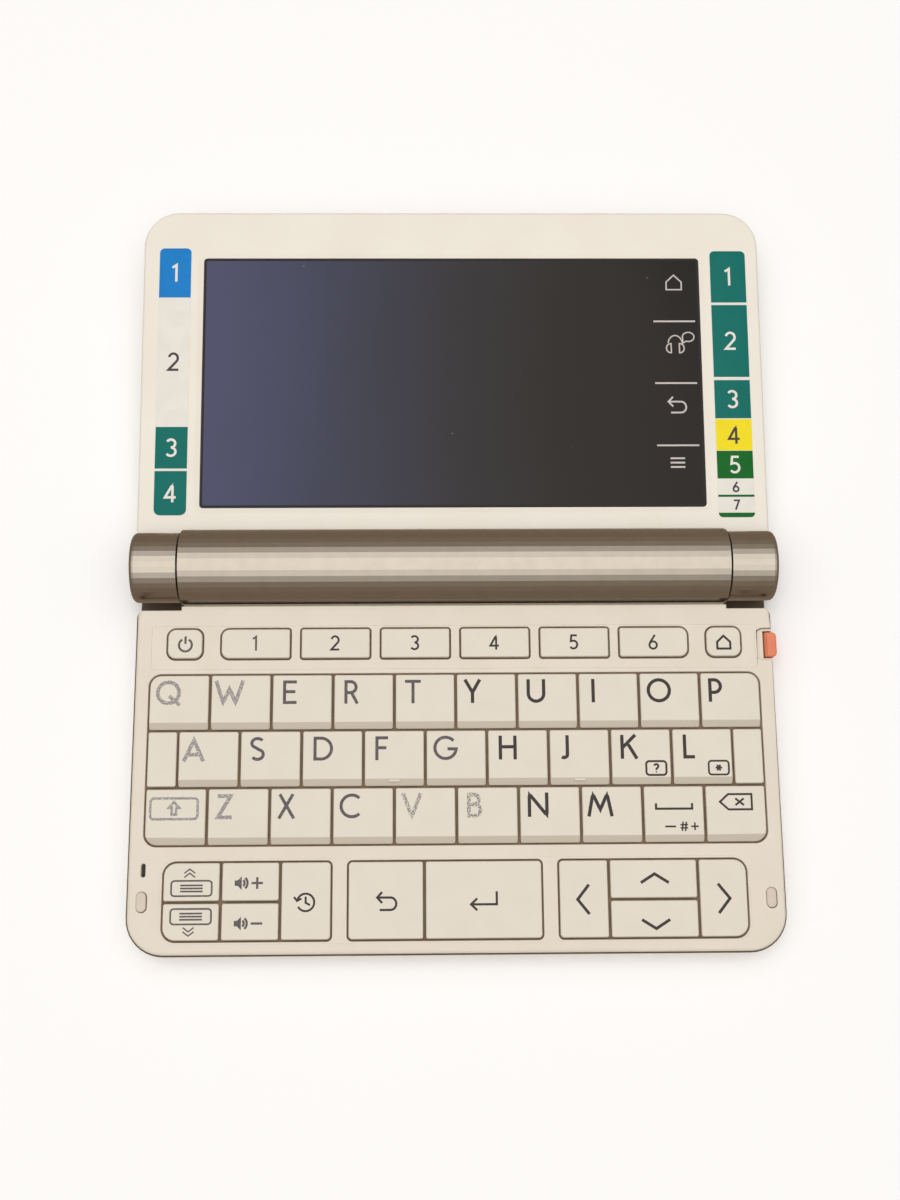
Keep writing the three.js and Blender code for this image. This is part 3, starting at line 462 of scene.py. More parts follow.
def dress(obj: Object, material: Material, body: str, slot: Slot | None) -> Object:
    """Gives a new object its material and body, reports it, and returns it.

    Args:
        obj: the object.
        material: its finish.
        body: the body that it rides on.
        slot: the record's material slot, if it has one; not used.

    Returns:
        The object.
    """
    obj.data.materials.clear()
    obj.data.materials.append(material)
    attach(obj, body)
    log.info("%s: %d faces on %s", obj.name, len(obj.data.polygons), body)
    return obj


def make(
    name: str,
    skin: Skin,
    material: Material,
    body: str,
    slot: Slot | None = None,
    sharp_deg: float = CREASE_DEG,
    weighted: bool = False,
) -> Object:
    """Writes a skin into a new piece.

    Args:
        name: the piece's name.
        skin: its surface.
        material: its finish.
        body: the frame's body that it rides on.
        slot: the record's material slot, if it has one.
        sharp_deg: edges that turn by more than this stay sharp.
        weighted: whether large faces keep their own shading beside small rounds.

    Returns:
        The new object.
    """
    mesh = bpy.data.meshes.new(name)
    mesh.from_pydata((np.vstack(skin.points) * MM).tolist(), [], skin.faces)
    settle(mesh, sharp_deg)
    obj = bpy.data.objects.new(name, mesh)
    bpy.context.scene.collection.objects.link(obj)
    if weighted:
        obj.modifiers.new("weighted normals", "WEIGHTED_NORMAL").keep_sharp = True
    return dress(obj, material, body, slot)


def soften(
    node: str,
    name: str,
    material: Material,
    body: str,
    slot: Slot,
    round_mm: float,
    smooth_deg: float = CREASE_DEG,
) -> None:
    """Stands a copy with rounded edges for a frame node: a bevel of even width on every crease.

    Args:
        node: the frame node that the copy replaces.
        name: the piece's name.
        material: its finish.
        body: the body that it rides on.
        slot: the record's material slot.
        round_mm: width of the bevel.
        smooth_deg: edges that turn by less than this are shaded smooth.
    """
    mesh = frame["nodes"][node].data.copy()
    mesh.name = name
    settle(mesh, smooth_deg, recalculate=False)
    work = bmesh.new()
    work.from_mesh(mesh)
    bmesh.ops.dissolve_limit(work, angle_limit=np.radians(LEVEL_DEG), verts=work.verts, edges=work.edges)
    work.to_mesh(mesh)
    work.free()
    mesh.set_sharp_from_angle(angle=np.radians(smooth_deg))
    obj = bpy.data.objects.new(name, mesh)
    bpy.context.scene.collection.objects.link(obj)
    bevel = obj.modifiers.new("round edges", "BEVEL")
    bevel.width, bevel.segments, bevel.limit_method = round_mm * MM, 2, "ANGLE"
    bevel.angle_limit = np.radians(CREASE_DEG)
    obj.modifiers.new("weighted normals", "WEIGHTED_NORMAL").keep_sharp = True
    dress(obj, material, body, slot)
    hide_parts(node)


# Finishes


def linear(colour: str) -> tuple[float, float, float, float]:
    """An sRGB hex colour as linear red, green, blue and a full alpha.

    Args:
        colour: the hex colour, with its number sign.

    Returns:
        The four values.
    """
    parts = np.array([int(colour[i : i + 2], 16) for i in (1, 3, 5)]) / 255
    bent = np.where(parts <= 0.04045, parts / 12.92, ((parts + 0.055) / 1.055) ** 2.4)
    return (*bent.tolist(), 1.0)


def add_node(
    tree: Tree, kind: str, settings: dict[str | int, object], links: dict[str | int, Socket]
) -> bpy.types.Node:
    """Adds a node, sets its sockets and options, and links its inputs.

    Args:
        tree: the node tree.
        kind: the node's type.
        settings: values of input sockets by name or number or, where no socket has that name, of options.
        links: output sockets that feed the inputs of those names or numbers.

    Returns:
        The node.
    """
    made = tree.nodes.new(kind)
    for name, value in settings.items():
        if isinstance(name, int) or name in made.inputs:
            made.inputs[name].default_value = value
        else:
            setattr(made, name, value)
    for name, socket in links.items():
        tree.links.new(socket, made.inputs[name])
    return made


def fresh_tree(material: Material | bpy.types.World) -> Tree:
    """An emptied node tree of a material or world."""
    material.use_nodes = True
    material.node_tree.nodes.clear()
    return material.node_tree


@dataclass(frozen=True)
class Moulded:
    """A moulded or printed surface: its colour varies a little, and a fine grain roughens it.

    Sizes of patterns are in millimetres: `cloud` is the size of the soft variation in colour, and `grain` the
    spacing of the tool's texture, drawn as coarse as it needs to be to show. `brush` draws the grain out
    along x. The noise's values from `cloud_from` to `cloud_to` run from the colour to its shade.
    """

    name: str
    colour: str
    shade: str
    roughness: float
    ior: float = 1.5
    coat: float = 0.0
    metallic: float = 0.0
    cloud: float = 9.0
    grain: float = 0.22
    grain_height: float = 0.004
    brush: float = 1.0
    cloud_from: float = 0.35
    cloud_to: float = 0.75

    def build(self) -> Material:
        """Makes the material: two colours mixed by a soft noise, and a bump from a fine one.

        Returns:
            The material.
        """
        material = bpy.data.materials.new(self.name)
        tree = fresh_tree(material)
        place = add_node(tree, "ShaderNodeTexCoord", {}, {}).outputs["Object"]
        settings = {"Roughness": self.roughness, "IOR": self.ior}
        settings |= {"Metallic": self.metallic, "Coat Weight": self.coat}
        links = {"Base Color": self.colours(tree, place), "Normal": self.grained(tree, place)}
        shader = add_node(tree, "ShaderNodeBsdfPrincipled", settings, links)
        add_node(tree, "ShaderNodeOutputMaterial", {}, {"Surface": shader.outputs["BSDF"]})
        return material

    def colours(self, tree: Tree, place: Socket) -> Socket:
        """The colour, clouded towards the shade.

        Args:
            tree: the node tree.
            place: the object's own coordinates.

        Returns:
            The output socket of the colour.
        """
        scale = 1 / (self.cloud * MM)
        cloud = add_node(tree, "ShaderNodeTexNoise", {"Scale": scale, "Detail": 4.0}, {"Vector": place})
        return mixed(tree, cloud.outputs["Fac"], self.colour, self.shade, self.cloud_from, self.cloud_to)

    def grained(self, tree: Tree, place: Socket) -> Socket:
        """The normal, roughened by a noise of the grain's size.

        Args:
            tree: the node tree.
            place: the object's own coordinates.

        Returns:
            The output socket of the normal.
        """
        stretch = {"operation": "MULTIPLY", 1: (1 / self.brush, 1.0, 1.0)}
        drawn = add_node(tree, "ShaderNodeVectorMath", stretch, {0: place}).outputs["Vector"]
        scale = 1 / (self.grain * MM)
        grain = add_node(tree, "ShaderNodeTexNoise", {"Scale": scale, "Detail": 2.0}, {"Vector": drawn})
        relief = {"Strength": 1.0, "Distance": self.grain_height * MM}
        bump = add_node(tree, "ShaderNodeBump", relief, {"Height": grain.outputs["Fac"]})
        return bump.outputs["Normal"]


def banded(tree: Tree, share: Socket, stops: Sequence[tuple[float, str]]) -> Socket:
    """A colour that runs from stop to stop as a value rises.

    Args:
        tree: the node tree.
        share: the value.
        stops: values in rising order, and the colour at each.

    Returns:
        The colour's output socket.
    """
    ramp = add_node(tree, "ShaderNodeValToRGB", {}, {"Fac": share})
    elements = ramp.color_ramp.elements
    while len(elements) < len(stops):
        elements.new(0.5)
    for element, (position, colour) in zip(elements, stops):
        element.position, element.color = position, linear(colour)
    return ramp.outputs["Color"]


def mixed(tree: Tree, share: Socket, low: str, high: str, start: float, end: float) -> Socket:
    """A colour that runs from low at and below the start to high at and above the end."""
    return banded(tree, share, [(start, low), (end, high)])


# Numbers of the mix node's sockets for colours, whose names its other sockets share
MIX_GROUND = 6
MIX_OVER = 7
MIX_RESULT = 2


@dataclass(frozen=True)
class SlopedCap(Moulded):
    """A keycap's plastic, with painted shade that darkens the faces sloping to the front."""

    # Colour of the painted shade on the front slopes, and the normal's y over which it fades in
    lean: str = "#C6BBA9"
    lean_from: float = 0.12
    lean_to: float = 0.3

    def colours(self, tree: Tree, place: Socket) -> Socket:
        """The clouded colour, with painted shade that grows as the object's own normal turns towards the
        front.

        Args:
            tree: the node tree.
            place: the object's own coordinates.

        Returns:
            The output socket of the colour.
        """
        face = super().colours(tree, place)
        normal = add_node(tree, "ShaderNodeTexCoord", {}, {}).outputs["Normal"]
        apart = add_node(tree, "ShaderNodeSeparateXYZ", {}, {"Vector": normal})
        span = {"From Min": -self.lean_from, "From Max": -self.lean_to, "To Min": 0.0, "To Max": 1.0}
        front = add_node(tree, "ShaderNodeMapRange", span, {"Value": apart.outputs["Y"]})
        over = {"data_type": "RGBA", MIX_OVER: linear(self.lean)}
        mix = add_node(tree, "ShaderNodeMix", over, {"Factor": front.outputs["Result"], MIX_GROUND: face})
        return mix.outputs[MIX_RESULT]


@dataclass(frozen=True)
class WornPrint(Moulded):
    """Pad-printed ink on a keycap: where it has rubbed off in crumbs, its shade, the bare plastic, shows."""

    crumb: float = 0.32
    left_from: float = 0.0
    left_to: float = 0.01

    def colours(self, tree: Tree, place: Socket) -> Socket:
        """The ink, broken up by a noise of the crumbs' size: low values of it are bare plastic.

        Args:
            tree: the node tree.
            place: the object's own coordinates.

        Returns:
            The output socket of the colour.
        """
        scale = 1 / (self.crumb * MM)
        crumb = add_node(tree, "ShaderNodeTexNoise", {"Scale": scale, "Detail": 3.0}, {"Vector": place})
        return mixed(tree, crumb.outputs["Fac"], self.shade, self.colour, self.left_from, self.left_to)


@dataclass(frozen=True)
class PanelGlass(Moulded):
    """Cover glass over a switched-off liquid crystal cell, whose colour holds a painted reflection: violet at
    the left, warm dark at the right.

    The painted reflection runs from the colour through `film` to the shade, swayed by a soft noise of the
    size `sway`.
    A few specks of dust lie on the glass, drawn as dots of about half a millimetre.
    """

    half_width: float = 60.0
    film_start: float = 0.1
    film: tuple[tuple[float, str], ...] = ((0.34, "#38394C"), (0.56, "#2C292C"), (0.78, "#211A14"))
    sway: float = 40.0
    sway_share: float = 0.12
    speck: str = "#B8B2AC"
    speck_spacing: float = 8.0
    speck_share: float = 0.35
    speck_core: float = 0.012
    speck_edge: float = 0.03

    def colours(self, tree: Tree, place: Socket) -> Socket:
        """The painted reflection's colours run along x, with pale specks where a cell pattern is close to its
        centres.

        Args:
            tree: the node tree.
            place: the object's own coordinates.

        Returns:
            The output socket of the colour.
        """
        apart = add_node(tree, "ShaderNodeSeparateXYZ", {}, {"Vector": place})
        scale = 1 / (self.sway * MM)
        sway = add_node(tree, "ShaderNodeTexNoise", {"Scale": scale, "Detail": 2.0}, {"Vector": place})
        reach = self.half_width * MM
        span = {"From Min": -reach, "From Max": reach, "To Min": 0.0, "To Max": 1.0}
        along = add_node(tree, "ShaderNodeMapRange", span, {"Value": apart.outputs["X"]})
        settings = {"operation": "MULTIPLY_ADD", 1: self.sway_share}
        links = {0: sway.outputs["Fac"], 2: along.outputs["Result"]}
        swayed = add_node(tree, "ShaderNodeMath", settings, links)
        # The stops along x draw the painted reflection
        stops = [(self.film_start, self.colour), *self.film, (1.0, self.shade)]
        film = banded(tree, swayed.outputs["Value"], stops)
        cells = {"Scale": 1 / (self.speck_spacing * MM), "Randomness": 1.0}
        dots = add_node(tree, "ShaderNodeTexVoronoi", cells, {"Vector": place})
        fade = {"From Min": self.speck_core, "From Max": self.speck_edge}
        fade |= {"To Min": self.speck_share, "To Max": 0.0}
        near = add_node(tree, "ShaderNodeMapRange", fade, {"Value": dots.outputs["Distance"]})
        over = {"data_type": "RGBA", MIX_OVER: linear(self.speck)}
        mix = add_node(tree, "ShaderNodeMix", over, {"Factor": near.outputs["Result"], MIX_GROUND: film})
        return mix.outputs[MIX_RESULT]


def label_film(name: str, colour: str, shade: str) -> Moulded:
    """The finish of a label's printed polyester film, smooth and with a weak mirror."""
    return Moulded(f"label_film_{name}", colour, shade, 0.35, ior=1.25, cloud=4.0, grain_height=0.001)


@dataclass
class Finishes:
    """Every finish on the object, built once and shared by its pieces."""

    # Moulded ABS with a spark-eroded texture: warm ivory, a soft sheen and no mirror
    ivory: Moulded = Moulded("moulded_abs_ivory", "#E5DBCB", "#E0D5C4", 0.5)
    # The same plastic on the keys, a little creamier and smoother from fingers, with painted shade on the
    # faces that slope to the front
    keycap: SlopedCap = SlopedCap("moulded_abs_keycap", "#E2DACA", "#E0D7C7", 0.42, cloud=6.0)
    # ABS under a clear gloss lacquer on the lid: paler than the base, with a weak second sheen
    gloss: Moulded = Moulded(
        "lacquered_abs_ivory", "#EDE6D9", "#E9E1D3", 0.36, coat=0.25, cloud=14.0, grain_height=0.001
    )
    # Vacuum-metallised and tinted plastic of the barrel: brown in the shade, cream where it catches light
    metal: Moulded = Moulded(
        name="champagne_metallised_abs",
        colour="#B4AA9C",
        shade="#AFA597",
        roughness=0.27,
        metallic=1.0,
        cloud=3.0,
        grain=0.3,
        grain_height=0.003,
        brush=60.0,
    )
    # Float glass bonded on the display: a sharp mirror over a dark film, whose colour holds a painted
    # reflection from violet at the left to warm dark at the right
    glass: PanelGlass = PanelGlass(
        "bonded_cover_glass", "#474966", "#19100B", 0.06, ior=1.3, grain_height=0.0
    )
    # Black enamel screen-printed behind the edge of the glass: a dark line with a mirror
    mask: Moulded = Moulded("black_glass_mask", "#1A1514", "#1D1817", 0.12, ior=1.3, grain_height=0.0)
    # Pale enamel screen-printed on the glass for the touch icons: light grey, duller than the glass
    icon: Moulded = Moulded("pale_icon_print", "#C9C1BB", "#BDB5AF", 0.3, grain_height=0.0)
    # Dyed polyacetal of the stylus head: satin orange
    orange: Moulded = Moulded("moulded_pom_orange", "#E5825A", "#DD7850", 0.38, cloud=2.5)
    # Moulded silicone rubber of the bumpers: matt, faintly pink
    bumper: Moulded = Moulded("silicone_bumper", "#DACDBD", "#D2C4B4", 0.6, cloud=2.0)
    # Moulded elastomer of the feet, dull and dark; it also makes the dark plate at the floor of the
    # microphone slot
    rubber: Moulded = Moulded("elastomer_foot", "#3A3836", "#343230", 0.75, cloud=2.0, grain_height=0.01)
    # Moulded ABS at the floor of the key wells, painted dull brown for the shade that falls in the gaps
    # between the keys
    shade: Moulded = Moulded("dusty_key_well", "#957F67", "#86725C", 0.8, cloud=3.0)
    # The same plastic painted dark brown for deeper shade: in the ring round the deck's edge, round the
    # bumpers and under the caps
    lip: Moulded = Moulded("dusty_case_lip", "#5E5040", "#544738", 0.8, cloud=3.0)
    # Pad-printed ink in four states of wear, from full black to grey crumbs on the bare key
    ink: WornPrint = WornPrint("pad_print_fresh", "#2F2423", "#E2D9C5", 0.55)
    rubbed: WornPrint = WornPrint("pad_print_rubbed", "#534A4D", "#E2D9C5", 0.5, left_from=0.1, left_to=0.42)
    faded: WornPrint = WornPrint("pad_print_faded", "#8B8488", "#E2D9C5", 0.5, left_from=0.34, left_to=0.5)
    crumbled: WornPrint = WornPrint(
        "pad_print_crumbled", "#7B727A", "#E2D9C5", 0.5, left_from=0.43, left_to=0.53
    )
    # Printed polyester film of the label strips: flat bright colours under a faint gloss, and dark print
    film: Moulded = label_film("white", "#EAE6DD", "#E5E0D6")
    teal: Moulded = label_film("teal", "#006E65", "#006A61")
    blue: Moulded = label_film("blue", "#1580CC", "#137AC4")
    yellow: Moulded = label_film("yellow", "#F5E01F", "#F0DA1A")
    green: Moulded = label_film("green", "#04661F", "#04601D")
    caption: Moulded = Moulded("label_ink_dark", "#2E2524", "#332A29", 0.4, grain_height=0.0)
    # Zinc-plated steel of the case screws: a soft grey metal
    steel: Moulded = Moulded("zinc_plated_steel", "#B9B8B4", "#A9A8A4", 0.35, metallic=1.0, cloud=1.0)
    # Glass-epoxy laminate under green solder mask, which gives a dull sheen
    board: Moulded = Moulded("solder_mask_green", "#2C5A38", "#264F31", 0.45, cloud=6.0)
    # Shrink film over a steel cell can: grey and glossy
    cell: Moulded = Moulded("shrink_film_grey", "#4C5056", "#43474D", 0.35, coat=0.3, cloud=6.0)
    built: dict[str, Material] = field(default_factory=dict)

    def get(self, name: str) -> Material:
        """The material of that finish, made when it is first asked for."""
        if name not in self.built:
            self.built[name] = getattr(self, name).build()
        return self.built[name]


# Marks: strokes and filled shapes in units of the mark's own height, from its lower left corner


@dataclass(frozen=True)
class Mark:
    """A printed mark: middle lines of its strokes, closed ones apart, and outlines of its filled shapes."""

    strokes: tuple[Loop, ...] = ()
    rings: tuple[Loop, ...] = ()
    fills: tuple[Loop, ...] = ()

    def print(self, skin: Skin, left: float, foot: float, height: float, weight: float, z: float) -> None:
        """Adds the mark to a skin as thin bars and plates.

        Args:
            skin: the skin that takes it.
            left: x of the mark's left edge.
            foot: y of its lower edge.
            height: its height.
            weight: width of its strokes.
            z: height of the surface that it is printed on.
        """
        origin = np.array([left, foot])
        bottom = z - PRINT_SINK
        strokes = [origin + path * height for path in self.strokes]
        strokes += [run for path in strokes for run in straight_runs(path, weight / 2)]
        tops = iter(z + PRINT_RISE + PRINT_STEP * np.arange(len(strokes) + len(self.rings) + len(self.fills)))
        for path in strokes:
            skin.bar(path, weight, bottom, next(tops))
        for path in self.rings:
            skin.bar(origin + path * height, weight, bottom, next(tops), closed=True)
        for loop in self.fills:
            outline = origin + loop * height
            skin.loft([at_height(outline, bottom), at_height(outline, next(tops))])


# How far print reaches into its ground, how far it stands out, and how much each stroke tops the one before
PRINT_SINK = 0.01
PRINT_RISE = 0.02
PRINT_STEP = 0.0015

# Height and stroke width of the capitals, and their distance from the key's rear edge
CAP_HEIGHT = 5.4
CAP_WEIGHT = 0.7
LETTER_DROP = 1.22

# Width of each letter and its distance from the key's left edge
LETTER_PLACES = {
    "q": (5.4, 1.4), "w": (6.4, 0.85), "e": (3.1, 2.25), "r": (3.1, 2.25), "t": (3.6, 2.1),
    "y": (3.7, 1.65), "u": (4.2, 1.95), "i": (0.7, 2.8), "o": (5.5, 1.5), "p": (3.1, 1.7),
    "a": (4.8, 0.9), "s": (3.3, 2.05), "d": (4.4, 2.35), "f": (2.85, 2.35), "g": (5.2, 1.55),
    "h": (4.0, 2.35), "j": (2.4, 1.85), "k": (3.85, 2.05), "l": (2.6, 2.3),
    "z": (3.5, 1.75), "x": (3.65, 1.6), "c": (4.6, 1.4), "v": (4.25, 1.45), "b": (3.3, 2.05),
    "n": (4.6, 1.7), "m": (5.7, 1.15),
}

# Keys whose print is worn, and the stroke width of the capitals in each state
WORN = {
    **dict.fromkeys("ertdfgsxc", Wear.RUBBED),
    **dict.fromkeys(["heading_up", "heading_down", "volume_up", "volume_down"], Wear.RUBBED),
    **dict.fromkeys(["power", "shortcut_1"], Wear.RUBBED),
    **dict.fromkeys(["q", "w", "a", "z", "shift"], Wear.FADED),
    **dict.fromkeys("vb", Wear.CRUMBLED),
}
LETTER_WEIGHTS = {Wear.FRESH: 0.76, Wear.RUBBED: 0.7, Wear.FADED: 0.84, Wear.CRUMBLED: 0.84}


def letters() -> dict[str, Mark]:
    """Capital letters of a geometric sans: straight stems, and bowls that are parts of circles.

    Returns:
        The marks by letter.
    """
    t = CAP_WEIGHT / CAP_HEIGHT / 2
    wide = {letter: width / CAP_HEIGHT for letter, (width, _) in LETTER_PLACES.items()}
    w = wide.__getitem__
    # Round letters overshoot the flat ones a little
    round_half = 0.5 - t + 0.01
    circle = (round_half, round_half)

    def stem(x: float) -> Loop:
        """An upright from foot to top."""
        return line((x, 0), (x, 1))

    def bowl(x: float, y0: float, y1: float) -> Loop:
        """A half circle that bulges right between two heights, with level runs from the stem."""
        radius = (y1 - y0) / 2
        bulge = arc((x - t - radius, y0 + radius), (radius, radius), 90, -90)
        return np.vstack([line((t, y1)), bulge, line((t, y0))])

    def peaked(width: float, *points: Sequence[float]) -> Loop:
        """A line through the points, the last in the middle of the width, and on through their images."""
        half = line(*points)
        return np.vstack([half, half[-2::-1] * (-1, 1) + (width, 0)])

    cup = arc((w("u") / 2, 0.38), (w("u") / 2 - t, 0.38 - t), 180, 360)
    upper_turn = arc((w("s") / 2, 0.74), (w("s") / 2 - t, 0.26 - t), 35, 250)
    lower_turn = arc((w("s") / 2, 0.27), (w("s") / 2 - t, 0.27 - t), 75, -145)
    belly = arc((0.32, 0.5), (w("d") - 0.32 - t, 0.5 - t), -90, 90, 20)
    hook = arc((w("j") - t - 0.15, 0.2), (0.15, 0.2 - t), 0, -125)
    bracket = line((w("e"), 1 - t), (t, 1 - t), (t, t), (w("e"), t))

    return {
        "q": Mark((line((0.55, 0.36), (w("q"), -0.03)),), (oval((0.51, 0.5), circle, 36),)),
        "w": Mark((peaked(w("w"), (0.03, 1), (0.28 * w("w"), 0.06), (w("w") / 2, 0.66)),)),
        "e": Mark((bracket, line((t, 0.52), (w("e") - 0.06, 0.52)))),
        "r": Mark((stem(t), bowl(w("r") - 0.02, 0.47, 1 - t), line((0.3, 0.47), (w("r") - 0.03, 0)))),
        "t": Mark((line((0, 1 - t), (w("t"), 1 - t)), stem(w("t") / 2))),
        "y": Mark((peaked(w("y"), (0.03, 1), (w("y") / 2, 0.45)), line((w("y") / 2, 0.5), (w("y") / 2, 0)))),
        "u": Mark((np.vstack([line((t, 1)), cup, line((w("u") - t, 1))]),)),
        "i": Mark((stem(t),)),
        "o": Mark((), (oval((w("o") / 2, 0.5), (w("o") / 2 - t, round_half), 36),)),
        "p": Mark((stem(t), bowl(w("p"), 0.4, 1 - t))),
        "a": Mark((peaked(w("a"), (0.04, 0), (w("a") / 2, 0.88)), line((0.17, 0.28), (w("a") - 0.17, 0.28)))),
        "s": Mark((np.vstack([upper_turn, lower_turn]),)),
        "d": Mark((), (np.vstack([line((t, 1 - t), (t, t)), belly]),)),
        "f": Mark((line((w("f"), 1 - t), (t, 1 - t), (t, 0)), line((t, 0.52), (w("f") - 0.07, 0.52)))),
        "g": Mark((np.vstack([arc((0.5, 0.5), circle, 42, 354, 30), line((0.58, 0.46))]),)),
        "h": Mark((stem(t), stem(w("h") - t), line((t, 0.53), (w("h") - t, 0.53)))),
        "j": Mark((np.vstack([line((w("j") - t, 1)), hook]),)),
        "k": Mark((stem(t), line((w("k") - 0.09, 1), (t, 0.45)), line((0.32, 0.6), (w("k") - 0.04, 0)))),
        "l": Mark((line((t, 1), (t, t), (w("l"), t)),)),
        "z": Mark((line((0.05, 1 - t), (w("z") - 0.07, 1 - t), (0.07, t), (w("z"), t)),)),
        "x": Mark((line((0.06, 1), (w("x") - 0.03, 0)), line((w("x") - 0.07, 1), (0.03, 0)))),
        "c": Mark((arc((0.5, 0.5), circle, 46, 314, 28),)),
        "v": Mark((peaked(w("v"), (0.03, 1), (w("v") / 2, 0.06)),)),
        "b": Mark((stem(t), bowl(w("b") - 0.06, 0.53, 1 - t), bowl(w("b"), t, 0.53))),
        "n": Mark((line((t, 0), (t, 0.95), (w("n") - t, 0.05), (w("n") - t, 1)),)),
        "m": Mark((peaked(w("m"), (0.05, 0), (0.22 * w("m"), 0.93), (w("m") / 2, 0.28)),)),
    }


def digits() -> dict[str, Mark]:
    """The plain numbers in use, six tenths as wide as they are tall.

    Returns:
        The marks by digit.
    """
    swan = arc((0.3, 0.7), (0.24, 0.26), 165, -35, 12)
    upper_bow = arc((0.28, 0.73), (0.23, 0.22), 150, -90, 12)
    lower_bow = arc((0.28, 0.28), (0.25, 0.23), 90, -150, 12)
    belly = arc((0.27, 0.32), (0.26, 0.27), 110, -145, 14)
    return {
        "1": Mark((line((0.14, 0.8), (0.36, 0.95), (0.36, 0)),)),
        "2": Mark((np.vstack([swan, line((0.05, 0.05), (0.58, 0.05))]),)),
        "3": Mark((upper_bow, lower_bow)),
        "4": Mark((line((0.42, 0), (0.42, 0.96), (0.03, 0.27), (0.6, 0.27)),)),
        "5": Mark((np.vstack([line((0.52, 0.95), (0.14, 0.95), (0.1, 0.55)), belly]),)),
        "6": Mark((line((0.44, 0.96), (0.08, 0.42)),), (oval((0.3, 0.26), (0.25, 0.25), 20),)),
        "7": Mark((line((0.04, 0.95), (0.56, 0.95), (0.2, 0)),)),
    }


def framed(width: float, height: float, inside: Mark, radius: float = 0.22) -> Mark:
    """A mark inside a frame with round corners, both in units of the frame's own height."""
    frame_line = rounded(0, width, 0, height, [radius] * 4, 5)
    return Mark(inside.strokes, (frame_line, *inside.rings), inside.fills)


def icons() -> dict[str, Mark]:
    """Generic signs of keyboards and screens.

    Returns:
        The marks by name.
    """
    house = line((0.06, 0.04), (0.94, 0.04), (0.94, 0.5), (0.5, 0.92), (0.06, 0.5))
    horn = line((0, 0.32), (0.2, 0.32), (0.46, 0.06), (0.46, 0.94), (0.2, 0.68), (0, 0.68))
    waves = (arc((0.42, 0.5), (0.22, 0.26), -50, 50, 8), arc((0.42, 0.5), (0.42, 0.44), -50, 50, 8))
    head, shaft = line((1.05, 0.76), (0.82, 0.5), (0.95, 0.5)), line((0.95, 0.2), (1.15, 0.2))
    shift_arrow = np.vstack([head, shaft, line((1.15, 0.5), (1.28, 0.5))])
    query = np.vstack([arc((0.73, 0.64), (0.15, 0.14), 170, -60, 10), line((0.73, 0.42), (0.73, 0.36))])
    spokes = 0.24 * np.array(SPOKES)
    star = tuple(np.array([0.73, 0.5]) + line(-spoke, spoke) for spoke in spokes)
    list_lines = tuple(line((0.6, y), (2.1, y)) for y in (0.3, 0.5, 0.7))
    left_pad = np.vstack([line((0.26, 0.02), (0.26, 0.46)), arc((0.24, 0.24), (0.2, 0.22), 90, 270, 10)])
    right_pad = np.vstack([line((0.64, 0.46), (0.64, 0.02)), arc((0.66, 0.24), (0.2, 0.22), -90, 90, 10)])
    bubble = np.vstack([arc((1.06, 0.78), (0.27, 0.22), -112, 200, 20), line((0.79, 0.48))])
    minus = line((1.1, 0.5), (1.85, 0.5))
    roof = line((0, 0), (0.6, 0.45), (1.2, 0))
    gutter = line((0, 0.45), (0.6, 0), (1.2, 0.45))
    turn_back = arc((0.72, 0.4), (0.3, 0.32), 90, -90, 14)
    back_hook = np.vstack([line((0.03, 0.72)), turn_back, line((0.15, 0.08))])
    hands = line((0.55, 0.8), (0.55, 0.48), (0.78, 0.36))
    lanes = (line((0.1, 0.34), (0.9, 0.34)), line((0.1, 0.68), (0.9, 0.68)))
    return {
        "power": Mark((arc((0.5, 0.42), (0.42, 0.42), 120, 420, 24), line((0.5, 0.5), (0.5, 1.0)))),
        "home": Mark((), (house,)),
        "louder": Mark((*waves, minus, line((1.475, 0.12), (1.475, 0.88))), (), (horn,)),
        "softer": Mark((*waves, minus), (), (horn,)),
        "up": Mark((line((0, 0), (1.15, 0.72), (2.3, 0)),)),
        "down": Mark((line((0, 0.72), (1.15, 0), (2.3, 0.72)),)),
        "left": Mark((line((0.4, 1), (0, 0.5), (0.4, 0)),)),
        "right": Mark((line((0, 1), (0.4, 0.5), (0, 0)),)),
        "double_up": Mark((roof + (0, 0.5), roof + (0, 0.05))),
        "double_down": Mark((gutter + (0, 0.05), gutter + (0, 0.5))),
        "return": Mark((back_hook, line((0.28, 1), (0.02, 0.72), (0.28, 0.44)))),
        "menu": Mark(tuple(line((0, y), (1.3, y)) for y in (0.1, 0.5, 0.9))),
        "phones": Mark((arc((0.45, 0.42), (0.33, 0.43), 8, 172, 18),), (left_pad, right_pad, bubble)),
        "clock": Mark(
            (
                arc((0.55, 0.5), (0.45, 0.45), 165, -150, 26),
                hands,
                line((-0.06, 0.78), (0.1, 0.58), (0.33, 0.7)),
            )
        ),
        "enter": Mark(
            (line((1.5, 1), (1.5, 0.3), (0.1, 0.3)), line((0.42, 0.62), (0.08, 0.3), (0.42, -0.02)))
        ),
        "space": Mark((line((0, 0.45), (0, 0), (3.0, 0), (3.0, 0.45)),)),
        "dash": Mark((line((0, 0.5), (1.15, 0.5)),)),
        "hash": Mark((*lanes, line((0.28, 0), (0.4, 1)), line((0.62, 0), (0.74, 1)))),
        "plus": Mark((line((0.1, 0.5), (0.9, 0.5)), line((0.5, 0.1), (0.5, 0.9)))),
        "erase": Mark(
            (line((1.02, 0.28), (1.58, 0.72)), line((1.02, 0.72), (1.58, 0.28))),
            (line((0, 0.5), (0.55, 0), (2.1, 0), (2.1, 1), (0.55, 1)),),
        ),
        "shift": framed(2.1, 0.92, Mark((), (shift_arrow,)), 0.16),
        "query": framed(1.46, 1.0, Mark((query,), (), (rounded(0.68, 0.78, 0.18, 0.28, [0.03] * 4, 2),))),
        "star": framed(1.46, 1.0, Mark(star)),
        "listing": framed(2.7, 1.0, Mark(list_lines)),
    }


# Directions of a star's three strokes
SPOKES = [(1.0, 0.0), (0.5, 0.866), (-0.5, 0.866)]


# Base


